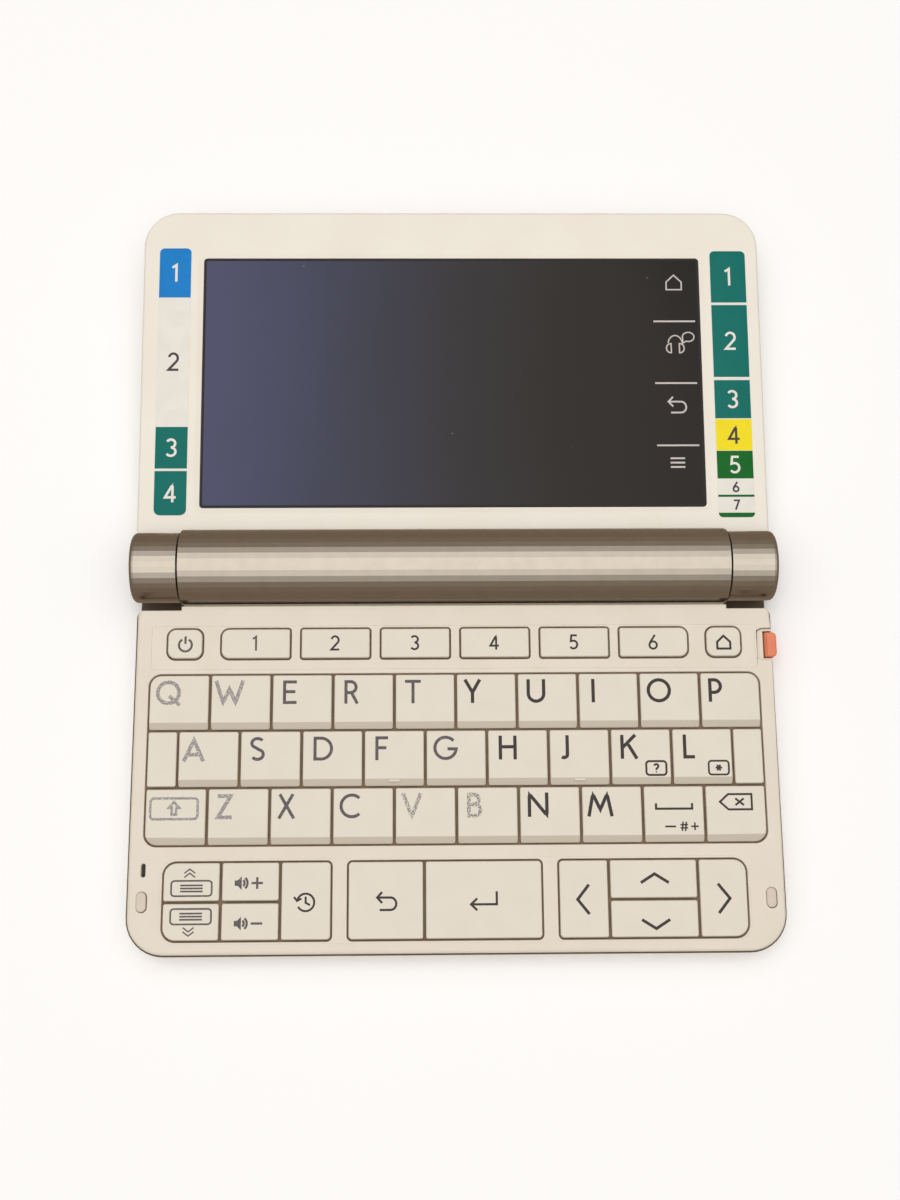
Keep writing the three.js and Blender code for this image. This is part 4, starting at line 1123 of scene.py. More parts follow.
@dataclass
class Deck:
    """The ivory plate round the keys, with wells, shallow dishes, a stylus recess and a microphone slot.

    Its outline stands back by the seam from a ring of painted shade round it, which draws the dark line at
    the deck's edge.
    `cut_half` is half the length along y in which an edge belongs to the stylus recess, and `slack` widens
    the tests for such places.
    """

    edge: float = 0.8
    rear_edge: float = 0.25
    cut_edge: float = 0.15
    rim: float = 0.18
    rib_rise: float = 0.9
    pad_rise: float = 0.4
    corner: float = 8.5
    rear_corner: float = 1.6
    step_x: float = 62.85
    step_depth: float = 0.95
    cut_half: float = 4.2
    slack: float = 0.1
    recess_x: float = 69.0
    recess_y: tuple[float, float] = (-22.5, -14.9)
    slot_x: float = 70.9
    slot_y: tuple[float, float] = (-21.9, -15.5)
    slot_corner: float = 0.25
    recess_corner: float = 1.8
    pad_corner: float = 0.1
    pad_inset: float = 0.05
    recess_gap: float = 0.13
    seam: float = 0.36
    seam_depth: float = 0.15
    seam_width: float = 1.2
    seam_rise: float = 0.02
    rear_seam: float = 0.14
    top: float = 9.7
    cloth_rise: float = 0.1
    cloth_edge: float = 0.01
    dish_depth: float = 0.12
    dish_corner: float = 0.6
    dish_slope_share: float = 0.8
    dish_rim_share: float = 0.6
    row_depth: float = 0.06
    dish: tuple[float, float, float, float] = (-69.25, 69.25, -24.1, -14.0)
    row_margin: float = 0.3
    row_corner: float = 3.6

    def plan(self, low: Array, high: Array, cut_x: float, cut_y: tuple[float, float], radius: float) -> Loop:
        """The deck's outline: round front corners, a cut for the stylus and a step at the barrel.

        Args:
            low: lowest corner of the deck's box.
            high: highest corner.
            cut_x: where the cut at the right side ends inside.
            cut_y: the cut's front and back.
            radius: radius of the cut's two inner corners.

        Returns:
            The closed loop, counter-clockwise.
        """
        rear = high[1] - self.step_depth
        radii = [self.corner] * 2 + [self.rear_corner] * 2
        body = rounded(low[0], high[0], low[1], rear, radii)
        half = len(body) // 2
        y0, y1 = cut_y
        cut = np.vstack([
            line((high[0], y0)),
            arc((cut_x + radius, y0 + radius), (radius, radius), 270, 180, 8),
            arc((cut_x + radius, y1 - radius), (radius, radius), 180, 90, 8),
            line((high[0], y1)),
        ])
        quarter = half + ROUND_STEPS + 1
        x, back = self.step_x, high[1]
        step = line((x, rear), (x, back), (-x, back), (-x, rear))
        return np.vstack([body[:half], cut, body[half:quarter], step, body[quarter:]])

    def build(self, finishes: Finishes, wells: "Wells") -> None:
        """Makes the deck's pieces.

        Args:
            finishes: the finishes.
            wells: outlines that the keys ask for.
        """
        low, high = (np.array(corner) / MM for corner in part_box("keyboard_deck"))
        rib_top = low[2] + self.rib_rise
        pad_top = rib_top + self.pad_rise
        lower = self.plan(low, high, self.slot_x, self.slot_y, self.slot_corner)
        seam, gap = self.seam, self.recess_gap
        near, far = self.recess_y
        cut = (self.recess_x + seam, (near + seam, far - seam), self.recess_corner - seam)
        whole = self.plan(low, high, *cut)
        from_rear = np.clip((high[1] - self.step_depth - whole[:, 1]) / self.rear_corner, 0, 1)
        upper = inset(whole, self.rear_seam + (seam - self.rear_seam) * from_rear)
        base, shade, ivory = Body.BASE.value, finishes.get("shade"), finishes.get("ivory")
        # The ribs carry the painted shade of the well floors, which shows in the gaps between the keys
        ribs = Skin().plate(lower, wells.openings, low[2], rib_top, SHARP, SHARP)
        deck = make("keyboard_deck_ribs", ribs, shade, base, Slot.IVORY, weighted=True)
        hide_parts("keyboard_deck")
        top = self.upper_plate(upper, wells, rib_top)
        near, far = near + gap, far - gap
        corner = self.recess_corner - gap
        radii = [corner, self.pad_corner, self.pad_corner, corner]
        pad = rounded(self.recess_x + gap * 2, self.slot_x, near, far, radii, 6)
        top.plate(pad, [], rib_top, pad_top, SHARP, SHARP)
        x0, x1 = self.slot_x, high[0] - self.pad_inset
        for y0, y1 in ((near, self.slot_y[0]), (self.slot_y[1], far)):
            top.plate(line((x0, y0), (x1, y0), (x1, y1), (x0, y1)), [], rib_top, pad_top, SHARP, SHARP)
        make("keyboard_deck_plate", top, ivory, base, Slot.IVORY, weighted=True)
        # A dark brown ring of painted shade under the plate's edge draws the deck's dark outline and the dark
        # line before the barrel
        inside = inset(whole, self.seam_width)
        ring = Skin().plate(
            whole, [inside], rib_top - self.seam_depth, rib_top + self.seam_rise, SHARP, SHARP
        )
        make("keyboard_deck_seam", ring, finishes.get("lip"), base, Slot.IVORY)
        # A dark plate darkens the floor of the microphone slot
        cloth = Skin().plate(wells.microphone, [], rib_top, rib_top + self.cloth_rise, self.cloth_edge, 0)
        make("microphone_cloth", cloth, finishes.get("rubber"), base, Slot.IVORY)

    def upper_plate(self, outline: Loop, wells: "Wells", bottom: float) -> Skin:
        """The plate's upper part: a level face with holes, dishes sunk in it, and the walls of every well.

        Args:
            outline: the plate's outline.
            wells: outlines that the keys ask for.
            bottom: height of the plate's foot.

        Returns:
            The plate's skin.
        """
        function_dish = rounded(*self.dish, [self.dish_corner] * 4, 4)
        x0, x1, y0, y1 = wells.row
        reach = self.row_margin
        row_dish = rounded(x0 - reach, x1 + reach, y0 - reach, y1 + reach, [self.row_corner] * 4)
        skin = Skin()
        skin.flat([outline, *wells.function, *wells.block, *wells.clusters, wells.microphone], bottom)
        beside = np.abs(outline[:, 1] - np.mean(self.recess_y)) < self.cut_half
        in_cut = beside & (outline[:, 0] > self.recess_x - self.slack)
        at_rear = outline[:, 1] > np.max(outline[:, 1]) - self.step_depth - self.slack
        edge = np.where(in_cut, self.cut_edge, np.where(at_rear, self.rear_edge, self.edge))
        skin.side(outline, bottom, self.top, edge)
        through = [*wells.block, wells.microphone]
        holes = [function_dish, row_dish, *[inset(hole, -self.rim) for hole in through]]
        skin.flat([inset(outline, edge), *holes], self.top)
        for hole in through:
            skin.side(hole, bottom, self.top, -self.rim)
        dish_rim = -self.rim * self.dish_rim_share
        for dish, inside, depth in (
            (function_dish, wells.function, self.dish_depth),
            (row_dish, wells.clusters, self.row_depth),
        ):
            floor = self.top - depth
            foot = inset(dish, depth * self.dish_slope_share)
            skin.loft([at_height(foot, floor), at_height(dish, self.top)], capped=False)
            skin.flat([foot, *[inset(hole, dish_rim) for hole in inside]], floor)
            for hole in inside:
                skin.side(hole, bottom, floor, dish_rim)
        return skin


@dataclass
class KeyShape:
    """Sizes of a key: rounds of its edges, the slope at a letter key's front, its stem and its homing bump.

    `trim` keeps it off its neighbours, `least_side` is what a round leaves of a side's height, and
    `crease_share` is how far off the crease its points are still taken to lie on it.
    """

    trim: float = 0.05
    gap: float = 0.55
    side_gap: float = 0.42
    ledge: float = 0.45
    crown: float = 0.7
    fillet: float = 0.28
    least_side: float = 0.02
    band: float = 1.6
    band_drop: float = 0.6
    crease: float = 0.14
    crease_share: float = 0.01
    stem_inset: float = 0.65
    stem_wall: float = 0.7
    stem_corner: float = 0.3
    stem_lap: float = 0.1
    stem_edge: float = 0.05
    plunger: float = 1.2
    plunger_rise: float = 0.7
    bump: tuple[float, float] = (1.3, 0.28)
    bump_corner: float = 0.27
    bump_edge: float = 0.12
    bump_place: float = 1.1
    bump_depth: float = 0.7
    bump_drop: float = 0.02
    infill_depth: float = 1.6
    square: float = 0.45
    block_corner: float = 2.5
    function_corner: float = 1.75
    cluster_corner: float = 2.75
    middle_corner: float = 0.8


@dataclass
class Wells:
    """Loops that the keys ask for in the deck."""

    function: list[Loop]
    block: list[Loop]
    clusters: list[Loop]
    openings: list[Loop]
    row: tuple[float, float, float, float]
    microphone: Loop


class Keyboard:
    """The keys: their caps, the wells round them, and what is printed on them."""

    function_keys = ["power", *[f"shortcut_{i}" for i in range(1, 7)], "home"]
    rows = ["qwertyuiop", "asdfghjkl", ["shift", *"zxcvbnm", "space", "delete"]]
    groups = [
        ["heading_up", "heading_down", "volume_up", "volume_down", "history"],
        ["back", "enter"],
        ["left", "up", "down", "right"],
    ]
    microphone = (-69.8, -68.8, -70.5, -67.5)
    microphone_corner = 0.48

    def __init__(self, finishes: Finishes) -> None:
        """Reads every key's box from the frame.

        Args:
            finishes: the finishes.
        """
        self.finishes = finishes
        self.shape = KeyShape()
        self.marks = {**letters(), **digits(), **icons()}
        names = [*self.function_keys, *[key for row in self.rows for key in row], *sum(self.groups, [])]
        self.boxes = {name: self.crown_box(name) for name in names}
        self.block_names = [key for row in self.rows for key in row]

    def crown_box(self, name: str) -> Array:
        """x0, x1, y0, y1 and the lowest and highest z of a key, without its homing bump.

        Args:
            name: the key's name without its prefix.

        Returns:
            The six values.
        """
        low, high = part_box(f"key_{name}")
        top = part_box("key_g")[1][2]
        trim = self.shape.trim * MM
        return np.array([low[0] + trim, high[0] - trim, low[1], high[1], low[2] + trim, top]) / MM

    def corners(self, name: str) -> list[float]:
        """Radii at front left, front right, back right and back left.

        Args:
            name: the key's name without its prefix.

        Returns:
            The four radii.
        """
        s = self.shape
        radii = [s.square] * 4
        rounds = {
            "q": {3: s.block_corner},
            "p": {2: s.block_corner},
            "shift": {0: s.block_corner},
            "delete": {1: s.block_corner},
            "power": dict.fromkeys(range(4), s.function_corner),
            "home": dict.fromkeys(range(4), s.function_corner),
            "shortcut_1": {0: s.function_corner, 3: s.function_corner},
            "shortcut_6": {1: s.function_corner, 2: s.function_corner},
            "heading_up": {3: s.cluster_corner},
            "heading_down": {0: s.cluster_corner},
            "history": {1: s.middle_corner, 2: s.middle_corner},
            "back": {0: s.middle_corner, 3: s.middle_corner},
            "enter": {1: s.middle_corner, 2: s.middle_corner},
            "left": {0: s.middle_corner, 3: s.middle_corner},
            "right": {1: s.cluster_corner, 2: s.cluster_corner},
        }
        for corner, radius in rounds.get(name, {}).items():
            radii[corner] = radius
        return radii

    def span(self, names: Sequence[str]) -> tuple[float, float, float, float]:
        """x0, x1, y0 and y1 round several keys."""
        boxes = np.array([self.boxes[name] for name in names])
        return boxes[:, 0].min(), boxes[:, 1].max(), boxes[:, 2].min(), boxes[:, 3].max()

    def wells(self) -> Wells:
        """The outlines of all wells and openings, each its keys' outline moved out by the gap.

        Returns:
            The outlines.
        """
        s = self.shape

        def round_well(names: Sequence[str], radii: Sequence[float]) -> Loop:
            """One outline round one key or a group."""
            x0, x1, y0, y1 = self.span(names)
            return inset(rounded(x0, x1, y0, y1, radii), -s.side_gap)

        wide, small = s.cluster_corner, s.middle_corner
        cluster_radii = [[wide, small, small, wide], [small] * 4, [small, wide, wide, small]]
        openings = []
        for x0, x1, y0, y1, _, _ in self.boxes.values():
            openings.append(inset(line((x0, y0), (x1, y0), (x1, y1), (x0, y1)), s.ledge))
        x0, x1, y0, y1 = self.span(sum(self.groups, []))
        return Wells(
            function=[round_well([name], self.corners(name)) for name in self.function_keys],
            block=[round_well(self.block_names, [s.block_corner] * 4)],
            clusters=[round_well(names, radii) for names, radii in zip(self.groups, cluster_radii)],
            openings=openings,
            row=(x0 - s.gap, x1 + s.gap, y0 - s.gap, y1 + s.gap),
            microphone=rounded(*self.microphone, [self.microphone_corner] * 4, 6),
        )

    def stem(self, box: Array) -> Skin:
        """The hollow stem that passes the deck, and the round plunger in it that rests on the board's dome.

        Args:
            box: x0, x1, y0, y1, lowest and highest z of the key.

        Returns:
            The skin of both, which lap into the crown.
        """
        s = self.shape
        x0, x1, y0, y1, bottom, top = box
        wall, hollow = (
            rounded(x0 + off, x1 - off, y0 + off, y1 - off, [s.stem_corner] * 4, 3)
            for off in (s.stem_inset, s.stem_inset + s.stem_wall)
        )
        x, y, r = (x0 + x1) / 2, (y0 + y1) / 2, s.plunger
        post = rounded(x - r, x + r, y - r, y + r, [r - s.stem_edge] * 4, 5)
        top = top - s.crown + s.stem_lap
        skin = Skin().plate(wall, [hollow], bottom, top, s.stem_edge, s.stem_edge)
        return skin.plate(post, [], bottom + s.plunger_rise, top, s.stem_edge, 0)

    def crown(self, box: Array, radii: Sequence[float], sloped: bool) -> Skin:
        """A key's surface: rings up the sides, over a round edge, and on to the face.

        The face is level, and on a sloped key it falls in a straight line to the front past a soft crease.

        Args:
            box: x0, x1, y0, y1, lowest and highest z.
            radii: the four corner radii.
            sloped: whether the front slopes down.

        Returns:
            The key's skin.
        """
        s = self.shape
        x0, x1, y0, y1, _, top = box
        outer = rounded(x0, x1, y0, y1, radii, 6)
        crease = y0 + s.band
        if sloped:
            outer = crossed(crossed(outer, crease - s.crease), crease + s.crease)

        def surface(loop: Loop) -> Array:
            """Height of the face above each point of a loop."""
            if not sloped:
                return np.full(len(loop), top)
            fall = np.clip((crease - loop[:, 1]) / s.band, 0, 1)
            return top - s.band_drop * fall

        skin = Skin()
        base = top - s.crown
        rings = [at_height(outer, base)]
        fillet = np.minimum(s.fillet, surface(outer) - base - s.least_side)
        for angle in np.radians(np.linspace(0, 90, FILLET_STEPS + 1)):
            moved = inset(outer, s.fillet * (1 - np.cos(angle)))
            rings.append(at_height(moved, surface(moved) - fillet * (1 - np.sin(angle))))
        skin.loft(rings, capped=False)
        count = len(outer)
        skin.add(rings[0], [list(range(count))[::-1]])
        face = rings[-1]
        if not sloped:
            return skin.add(face, [list(range(count))])
        off = outer[:, 1] - crease
        inner, outside = s.crease * (1 - s.crease_share), s.crease * (1 + s.crease_share)
        strips = (off < -inner, np.abs(off) < outside, off > inner)
        return skin.add(face, [in_order(strip) for strip in strips])

    def legend(self, name: str, skin: Skin) -> None:
        """Prints a key's marks at their places.

        Args:
            name: the key's name without its prefix.
            skin: the skin that takes the print.
        """
        x0, _, _, y1, _, z = self.boxes[name]
        if name in LETTER_PLACES:
            _, left = LETTER_PLACES[name]
            weight = LETTER_WEIGHTS[WORN.get(name, Wear.FRESH)]
            foot = y1 - LETTER_DROP - CAP_HEIGHT
            self.marks[name].print(skin, x0 + left, foot, CAP_HEIGHT, weight, z)
        for mark, left, drop, height, weight in LEGENDS.get(name, ()):
            self.marks[mark].print(skin, x0 + left, y1 - drop - height, height, weight, z)

    def build(self) -> None:
        """Makes every key's cap and print, and the two fixed infills."""
        plastic = self.finishes.get("keycap")
        for name, box in self.boxes.items():
            cap = self.crown(box, self.corners(name), name in self.block_names).join(self.stem(box))
            if name in ("f", "j"):
                cap.join(self.homing_bump(name))
            obj = make(f"key_{name}_cap", cap, plastic, f"key_{name}", Slot.KEYCAP, weighted=True)
            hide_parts(f"key_{name}")
            skin = Skin()
            self.legend(name, skin)
            ink = self.finishes.get(WORN.get(name, Wear.FRESH).value)
            make(f"key_{name}_print", skin, ink, f"key_{name}", Slot.KEYCAP)
        self.build_infills()

    def homing_bump(self, name: str) -> Skin:
        """A small raised bar over the crease at the front of the key.

        Args:
            name: the key's name without its prefix.

        Returns:
            The bar's skin.
        """
        s = self.shape
        low, high = (np.array(corner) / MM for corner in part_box(f"key_{name}"))
        x = (low[0] + high[0]) / 2
        y = low[1] + s.bump_place
        half_x, half_y = s.bump
        loop = rounded(x - half_x, x + half_x, y - half_y, y + half_y, [s.bump_corner] * 4, 5)
        return Skin().plate(loop, [], high[2] - s.bump_depth, high[2] - s.bump_drop, s.bump_edge, 0)

    def build_infills(self) -> None:
        """Makes the fixed caps that fill the ends of the middle row."""
        s = self.shape
        plastic = self.finishes.get("keycap")
        x0, x1, _, _ = self.span(self.block_names)
        first, _, y0, y1, _, z = self.boxes["a"]
        last = self.boxes["l"][1]
        for side, left, right in (("left", x0, first - s.gap), ("right", last + s.gap, x1)):
            box = np.array([left, right, y0, y1, z - s.infill_depth, z])
            skin = self.crown(box, [s.square] * 4, sloped=False)
            make(f"deck_infill_{side}", skin, plastic, Body.BASE.value, Slot.IVORY, weighted=True)


# Marks on the keys: name, distance from the left edge, distance from the rear edge, height, stroke width
LEGENDS = {
    "power": [("power", 2.2, 1.6, 3.5, 0.5)],
    "home": [("home", 2.2, 1.75, 3.4, 0.5)],
    **{f"shortcut_{i}": [(str(i), 6.6, 1.6, 3.4, 0.46)] for i in range(1, 7)},
    "k": [("query", 7.7, 7.2, 3.1, 0.46)],
    "l": [("star", 7.9, 7.2, 3.1, 0.42)],
    "shift": [("shift", 1.0, 1.6, 5.0, 0.55)],
    "space": [
        ("space", 2.6, 2.3, 2.7, 0.5),
        ("dash", 4.5, 7.9, 2.1, 0.4),
        ("hash", 7.7, 7.9, 2.1, 0.34),
        ("plus", 10.1, 7.9, 2.1, 0.36),
    ],
    "delete": [("erase", 3.1, 1.85, 3.4, 0.46)],
    "heading_up": [("double_up", 4.5, 1.2, 2.0, 0.3), ("listing", 1.7, 3.85, 3.3, 0.38)],
    "heading_down": [("listing", 1.7, 1.1, 3.3, 0.38), ("double_down", 4.5, 5.0, 2.0, 0.3)],
    "volume_up": [("louder", 2.75, 2.75, 3.35, 0.5)],
    "volume_down": [("softer", 2.75, 2.65, 3.35, 0.5)],
    "history": [("clock", 3.0, 6.6, 4.2, 0.46)],
    "back": [("return", 6.2, 6.6, 4.2, 0.5)],
    "enter": [("enter", 9.6, 6.6, 4.0, 0.5)],
    "left": [("left", 3.9, 5.3, 6.4, 0.65)],
    "right": [("right", 4.0, 5.3, 6.4, 0.65)],
    "up": [("up", 6.7, 2.3, 2.7, 0.65)],
    "down": [("down", 6.7, 3.4, 2.7, 0.65)],
}


@dataclass
class Trim:
    """Small pieces of the base: bumpers with dark rings of painted shadow round them, feet, screws, and the
    case's lips in painted shade under the caps.
    """

    bumper_x: float = 69.5
    bumper_y: float = -75.86
    bumper: tuple[float, float] = (2.2, 4.4)
    bumper_depth: float = 1.2
    bumper_edge: float = 0.35
    bumper_slack: float = 0.08
    bumper_flat: float = 0.02
    # A dark ring of painted shadow round each bumper: its width, its shift to the right and the front, its
    # depth, rise and round
    seat_rim: float = 0.13
    seat_shift: tuple[float, float] = (0.07, -0.05)
    seat_depth: float = 0.3
    seat_rise: float = 0.012
    seat_edge: float = 0.01
    foot: tuple[float, float] = (9.0, 4.0)
    foot_place: tuple[float, float] = (55.0, -75.71)
    foot_corner: float = 1.9
    rear_foot: tuple[float, float] = (6.5, 6.0)
    rear_foot_place: tuple[float, float] = (57.975, 0.0)
    rear_foot_corner: float = 0.8
    foot_spread: float = 0.02
    foot_edge: float = 0.15
    foot_top: float = 0.45
    screw_x: tuple[float, ...] = (-59.77, -20.85, 20.85, 59.77)
    screw_y: tuple[float, ...] = (-36.28, -76.97)
    # Dark brown lips of painted shade under the caps, for the shadow in the corner between each cap and the
    # deck: their spans, corner and round
    lip_x: tuple[float, float] = (63.3, 73.2)
    lip_y: tuple[float, float] = (-11.2, -5.8)
    lip_z: tuple[float, float] = (0.6, 2.4)
    lip_corner: float = 0.3
    lip_edge: float = 0.2
    screw_radius: float = 1.45
    screw_seat: float = 1.9
    screw_edge: float = 0.05
    screw_depth: float = 0.9
    cross_depth: float = 0.4
    cross_reach: float = 0.8
    cross_half: float = 0.2

    def build(self, finishes: Finishes) -> None:
        """Makes the bumpers, lips, feet and screws.

        Args:
            finishes: the finishes.
        """
        for side, sign in (("left", -1), ("right", 1)):
            self.build_bumper(side, sign, finishes)
            self.build_lip(side, sign, finishes)
            for name, size, radius, (x, y) in (
                ("front", self.foot, self.foot_corner, self.foot_place),
                ("rear", self.rear_foot, self.rear_foot_corner, self.rear_foot_place),
            ):
                self.build_foot(f"foot_{name}_{side}", size, radius, (sign * x, y), finishes)
        for i, (x, y) in enumerate((x, y) for y in self.screw_y for x in self.screw_x):
            skin = self.screw().moved(x, y, self.screw_seat)
            make(f"case_screw_{i + 1}", skin, finishes.get("steel"), Body.BASE.value, Slot.METAL)

    def build_bumper(self, side: str, sign: int, finishes: Finishes) -> None:
        """Makes a rubber bumper that the closed lid rests on, and round it in the deck a dark ring of painted
        shadow, moved a little to the right and the front.

        Args:
            side: left or right, for the name.
            sign: -1 at the left and 1 at the right.
            finishes: the finishes.
        """
        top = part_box("keyboard_deck")[1][2] / MM
        half_w, half_l = self.bumper[0] / 2, self.bumper[1] / 2
        x, y = sign * self.bumper_x, self.bumper_y
        radius = half_w - self.bumper_flat / 2
        loop = rounded(x - half_w, x + half_w, y - half_l, y + half_l, [radius] * 4, 8)
        skin = Skin().plate(loop, [], top - self.bumper_depth, top - self.bumper_slack, self.bumper_edge, 0)
        make(f"bumper_{side}", skin, finishes.get("bumper"), Body.BASE.value, Slot.IVORY)
        seat = inset(loop, -self.seat_rim) + np.array(self.seat_shift)
        bottom, rise = Deck.top - self.seat_depth, Deck.top + self.seat_rise
        skin = Skin().plate(seat, [], bottom, rise, self.seat_edge, 0)
        make(f"bumper_seat_{side}", skin, finishes.get("lip"), Body.BASE.value, Slot.IVORY)

    def build_lip(self, side: str, sign: int, finishes: Finishes) -> None:
        """Makes a lip of the case under a cap, which closes the corner between them, in dark brown painted
        shade for the shadow under the cap.

        Args:
            side: left or right, for the name.
            sign: -1 at the left and 1 at the right.
            finishes: the finishes.
        """
        x0, x1 = sorted((sign * self.lip_x[0], sign * self.lip_x[1]))
        loop = rounded(x0, x1, *self.lip_y, [self.lip_corner] * 4, 3)
        skin = Skin().plate(loop, [], *self.lip_z, self.lip_edge, 0)
        make(f"case_lip_{side}", skin, finishes.get("lip"), Body.BASE.value, Slot.IVORY)

    def build_foot(
        self, name: str, size: Sequence[float], radius: float, place: Sequence[float], finishes: Finishes
    ) -> None:
        """Makes one rubber foot, a pad with round corners that stands on the table.

        Args:
            name: the piece's name.
            size: width and depth.
            radius: radius of the corners.
            place: x and y of the middle.
            finishes: the finishes.
        """
        x, y = place
        half_l, half_w = size[0] / 2 + self.foot_spread, size[1] / 2 + self.foot_spread
        loop = rounded(x - half_l, x + half_l, y - half_w, y + half_w, [radius] * 4, 8)
        foot = at_height(inset(loop, self.foot_edge), 0.0)
        rings = [foot, at_height(loop, self.foot_edge), at_height(loop, self.foot_top)]
        make(name, Skin().loft(rings), finishes.get("rubber"), Body.BASE.value, Slot.IVORY)

    def screw(self) -> Skin:
        """A pan head that looks down, with a cross recess: a plate with a hole over a full one.

        Returns:
            The screw's skin, with the face at height 0.
        """
        circle = arc((0, 0), (self.screw_radius, self.screw_radius), 0, 350, 35)
        arm, half = self.cross_reach, self.cross_half
        end = line((arm, -half), (arm, half), (half, half))
        ends = [end, end[:, ::-1] * (-1, 1), -end, end[:, ::-1] * (1, -1)]
        skin = Skin().plate(circle, [], -self.cross_depth, 0.0, self.screw_edge, 0)
        return skin.plate(circle, [np.vstack(ends)], -self.screw_depth, -self.cross_depth, SHARP, SHARP)


# Lid


@dataclass
class Lid:
    """The open lid: bezel, glass with its icons, label strips and the back cover.

    It is shaped level, with heights counted from the hinge axis, and then turned up about the axis to its
    stop. Its `slack` widens the test for what lies at the near edge.
    """

    tilt_deg: float = 3.497
    axis_height: float = 8.9
    half: float = 74.0
    near: float = 9.2
    far: float = 87.71
    corner: float = 8.5
    near_corner: float = 1.0
    neck_x: float = 63.1
    neck_near: float = 8.36
    edge: float = 0.7
    near_edge: float = 0.25
    slack: float = 0.1
    face: float = -1.4
    bezel_bottom: float = -2.6
    glass_top: float = -1.7
    panel_bottom: float = -4.6
    panel_lip: float = 2.5
    panel_corner: float = 1.0
    glass_gap: float = 0.1
    glass_edge: float = 0.08
    mask_inset: float = 0.33
    mask_width: float = 0.5
    mask_rise: float = 0.005
    back_inside: float = -6.0
    back_bottom: float = -7.4
    window: tuple[float, float, float, float] = (-59.65, 59.65, 14.5, 76.11)
    window_corner: float = 0.9
    chamfer: float = 1.2
    back_edge: float = 2.4
    wall: float = 2.8
    separators: tuple[float, ...] = (60.17, 44.76, 29.44)
    separator_x: tuple[float, float] = (48.3, 58.35)
    separator_width: float = 0.42
    separator_rise: float = 0.008
    icon_sink: float = 0.012

    def plan(self, shrink: float, necks: bool) -> Loop:
        """The lid's outline moved in at the sides and the far edge, with ears towards the caps if asked.

        Args:
            shrink: how far the sides and the far edge move in.
            necks: whether the near edge runs on to the caps at both ends.

        Returns:
            The closed loop.
        """
        far_radius = self.corner - shrink
        x = self.half - shrink
        near = self.neck_near if necks else self.near
        radii = [self.near_corner, self.near_corner, far_radius, far_radius]
        body = rounded(-x, x, near, self.far - shrink, radii)
        if not necks:
            return body
        first = ROUND_STEPS + 1
        x = self.neck_x
        dent = line((-x, near), (-x, self.near), (x, self.near), (x, near))
        return np.vstack([body[:first], dent, body[first:]])

    def piece(self, name: str, skin: Skin, material: Material, slot: Slot, **options: float) -> Object:
        """Turns a finished skin up to the lid's place and makes it a piece that rides on the lid.

        Args:
            name: the piece's name.
            skin: its surface, shaped level.
            material: its finish.
            slot: the record's material slot.
            options: how it is shaded, as for any piece.

        Returns:
            The new object.
        """
        skin.raised(self.tilt_deg, self.axis_height)
        return make(name, skin, material, Body.LID.value, slot, **options)

    def build(self, finishes: Finishes, marks: dict[str, Mark]) -> None:
        """Makes all of the lid's pieces.

        Args:
            finishes: the finishes.
            marks: the marks that can be printed.
        """
        window = rounded(*self.window, [self.window_corner] * 4, 6)
        outline = self.plan(0, necks=True)
        skin = Skin()
        skin.flat([outline, window], self.bezel_bottom)
        edge = np.where(outline[:, 1] < self.near + self.slack, self.near_edge, self.edge)
        skin.side(outline, self.bezel_bottom, self.face, edge)
        opened = inset(window, -self.chamfer)
        skin.flat([inset(outline, edge), opened], self.face)
        wall = [at_height(window, self.bezel_bottom), at_height(window, self.glass_top)]
        skin.loft([*wall, at_height(opened, self.face)], capped=False)
        bezel = self.piece("lid_bezel", skin, finishes.get("gloss"), Slot.GLOSS, sharp_deg=12, weighted=True)
        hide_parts("display_bezel")
        self.build_panel(finishes, marks)
        self.build_back(finishes)
        self.build_labels(finishes, marks)

    def build_back(self, finishes: Finishes) -> None:
        """Makes the back cover, a tray whose outer edge is an elliptical round.

        Args:
            finishes: the finishes.
        """
        rings = []
        for angle in np.radians(np.linspace(0, 90, 9)):
            shrink = self.back_edge * (1 - np.sin(angle))
            height = self.back_bottom + self.back_edge * (1 - np.cos(angle))
            rings.append(at_height(self.plan(shrink, False), height))
        rings.append(at_height(self.plan(0, False), self.bezel_bottom))
        inner = self.plan(self.wall, False)
        inner[:, 1] = np.maximum(inner[:, 1], self.near + self.wall)
        rings += [at_height(inner, self.bezel_bottom), at_height(inner, self.back_inside)]
        back = self.piece("lid_back", Skin().loft(rings), finishes.get("gloss"), Slot.GLOSS, weighted=True)
        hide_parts("lid_back_cover")

    def build_panel(self, finishes: Finishes, marks: dict[str, Mark]) -> None:
        """Makes the display: the cell's flange, the cover glass, its black border and the touch icons.

        Args:
            finishes: the finishes.
            marks: the marks that can be printed.
        """
        x0, x1, y0, y1 = self.window
        lip, top = self.panel_lip, self.glass_top
        flange = rounded(x0 - lip, x1 + lip, y0 - lip, y1 + lip, [self.panel_corner] * 4, 4)
        skin = Skin().loft([at_height(flange, self.panel_bottom), at_height(flange, self.bezel_bottom)])
        glass = inset(rounded(*self.window, [self.window_corner] * 4, 6), self.glass_gap)
        skin.plate(glass, [], self.bezel_bottom, top, self.glass_edge, 0)
        panel = self.piece("display_glass", skin, finishes.get("glass"), Slot.GLASS)
        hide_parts("display_panel")
        sunk = top - PRINT_SINK
        middle = inset(glass, self.mask_inset)
        border = Skin().bar(middle, self.mask_width, sunk, top + self.mask_rise, closed=True)
        self.piece("display_mask", border, finishes.get("mask"), Slot.GLASS)
        icon_skin = Skin()
        x0, x1 = self.separator_x
        for y in self.separators:
            icon_skin.bar(line((x0, y), (x1, y)), self.separator_width, sunk, top + self.separator_rise)
        for name, left, foot, size, weight in PANEL_ICONS:
            marks[name].print(icon_skin, left, foot, size, weight, top - self.icon_sink)
        self.piece("display_icons", icon_skin, finishes.get("icon"), Slot.GLASS)

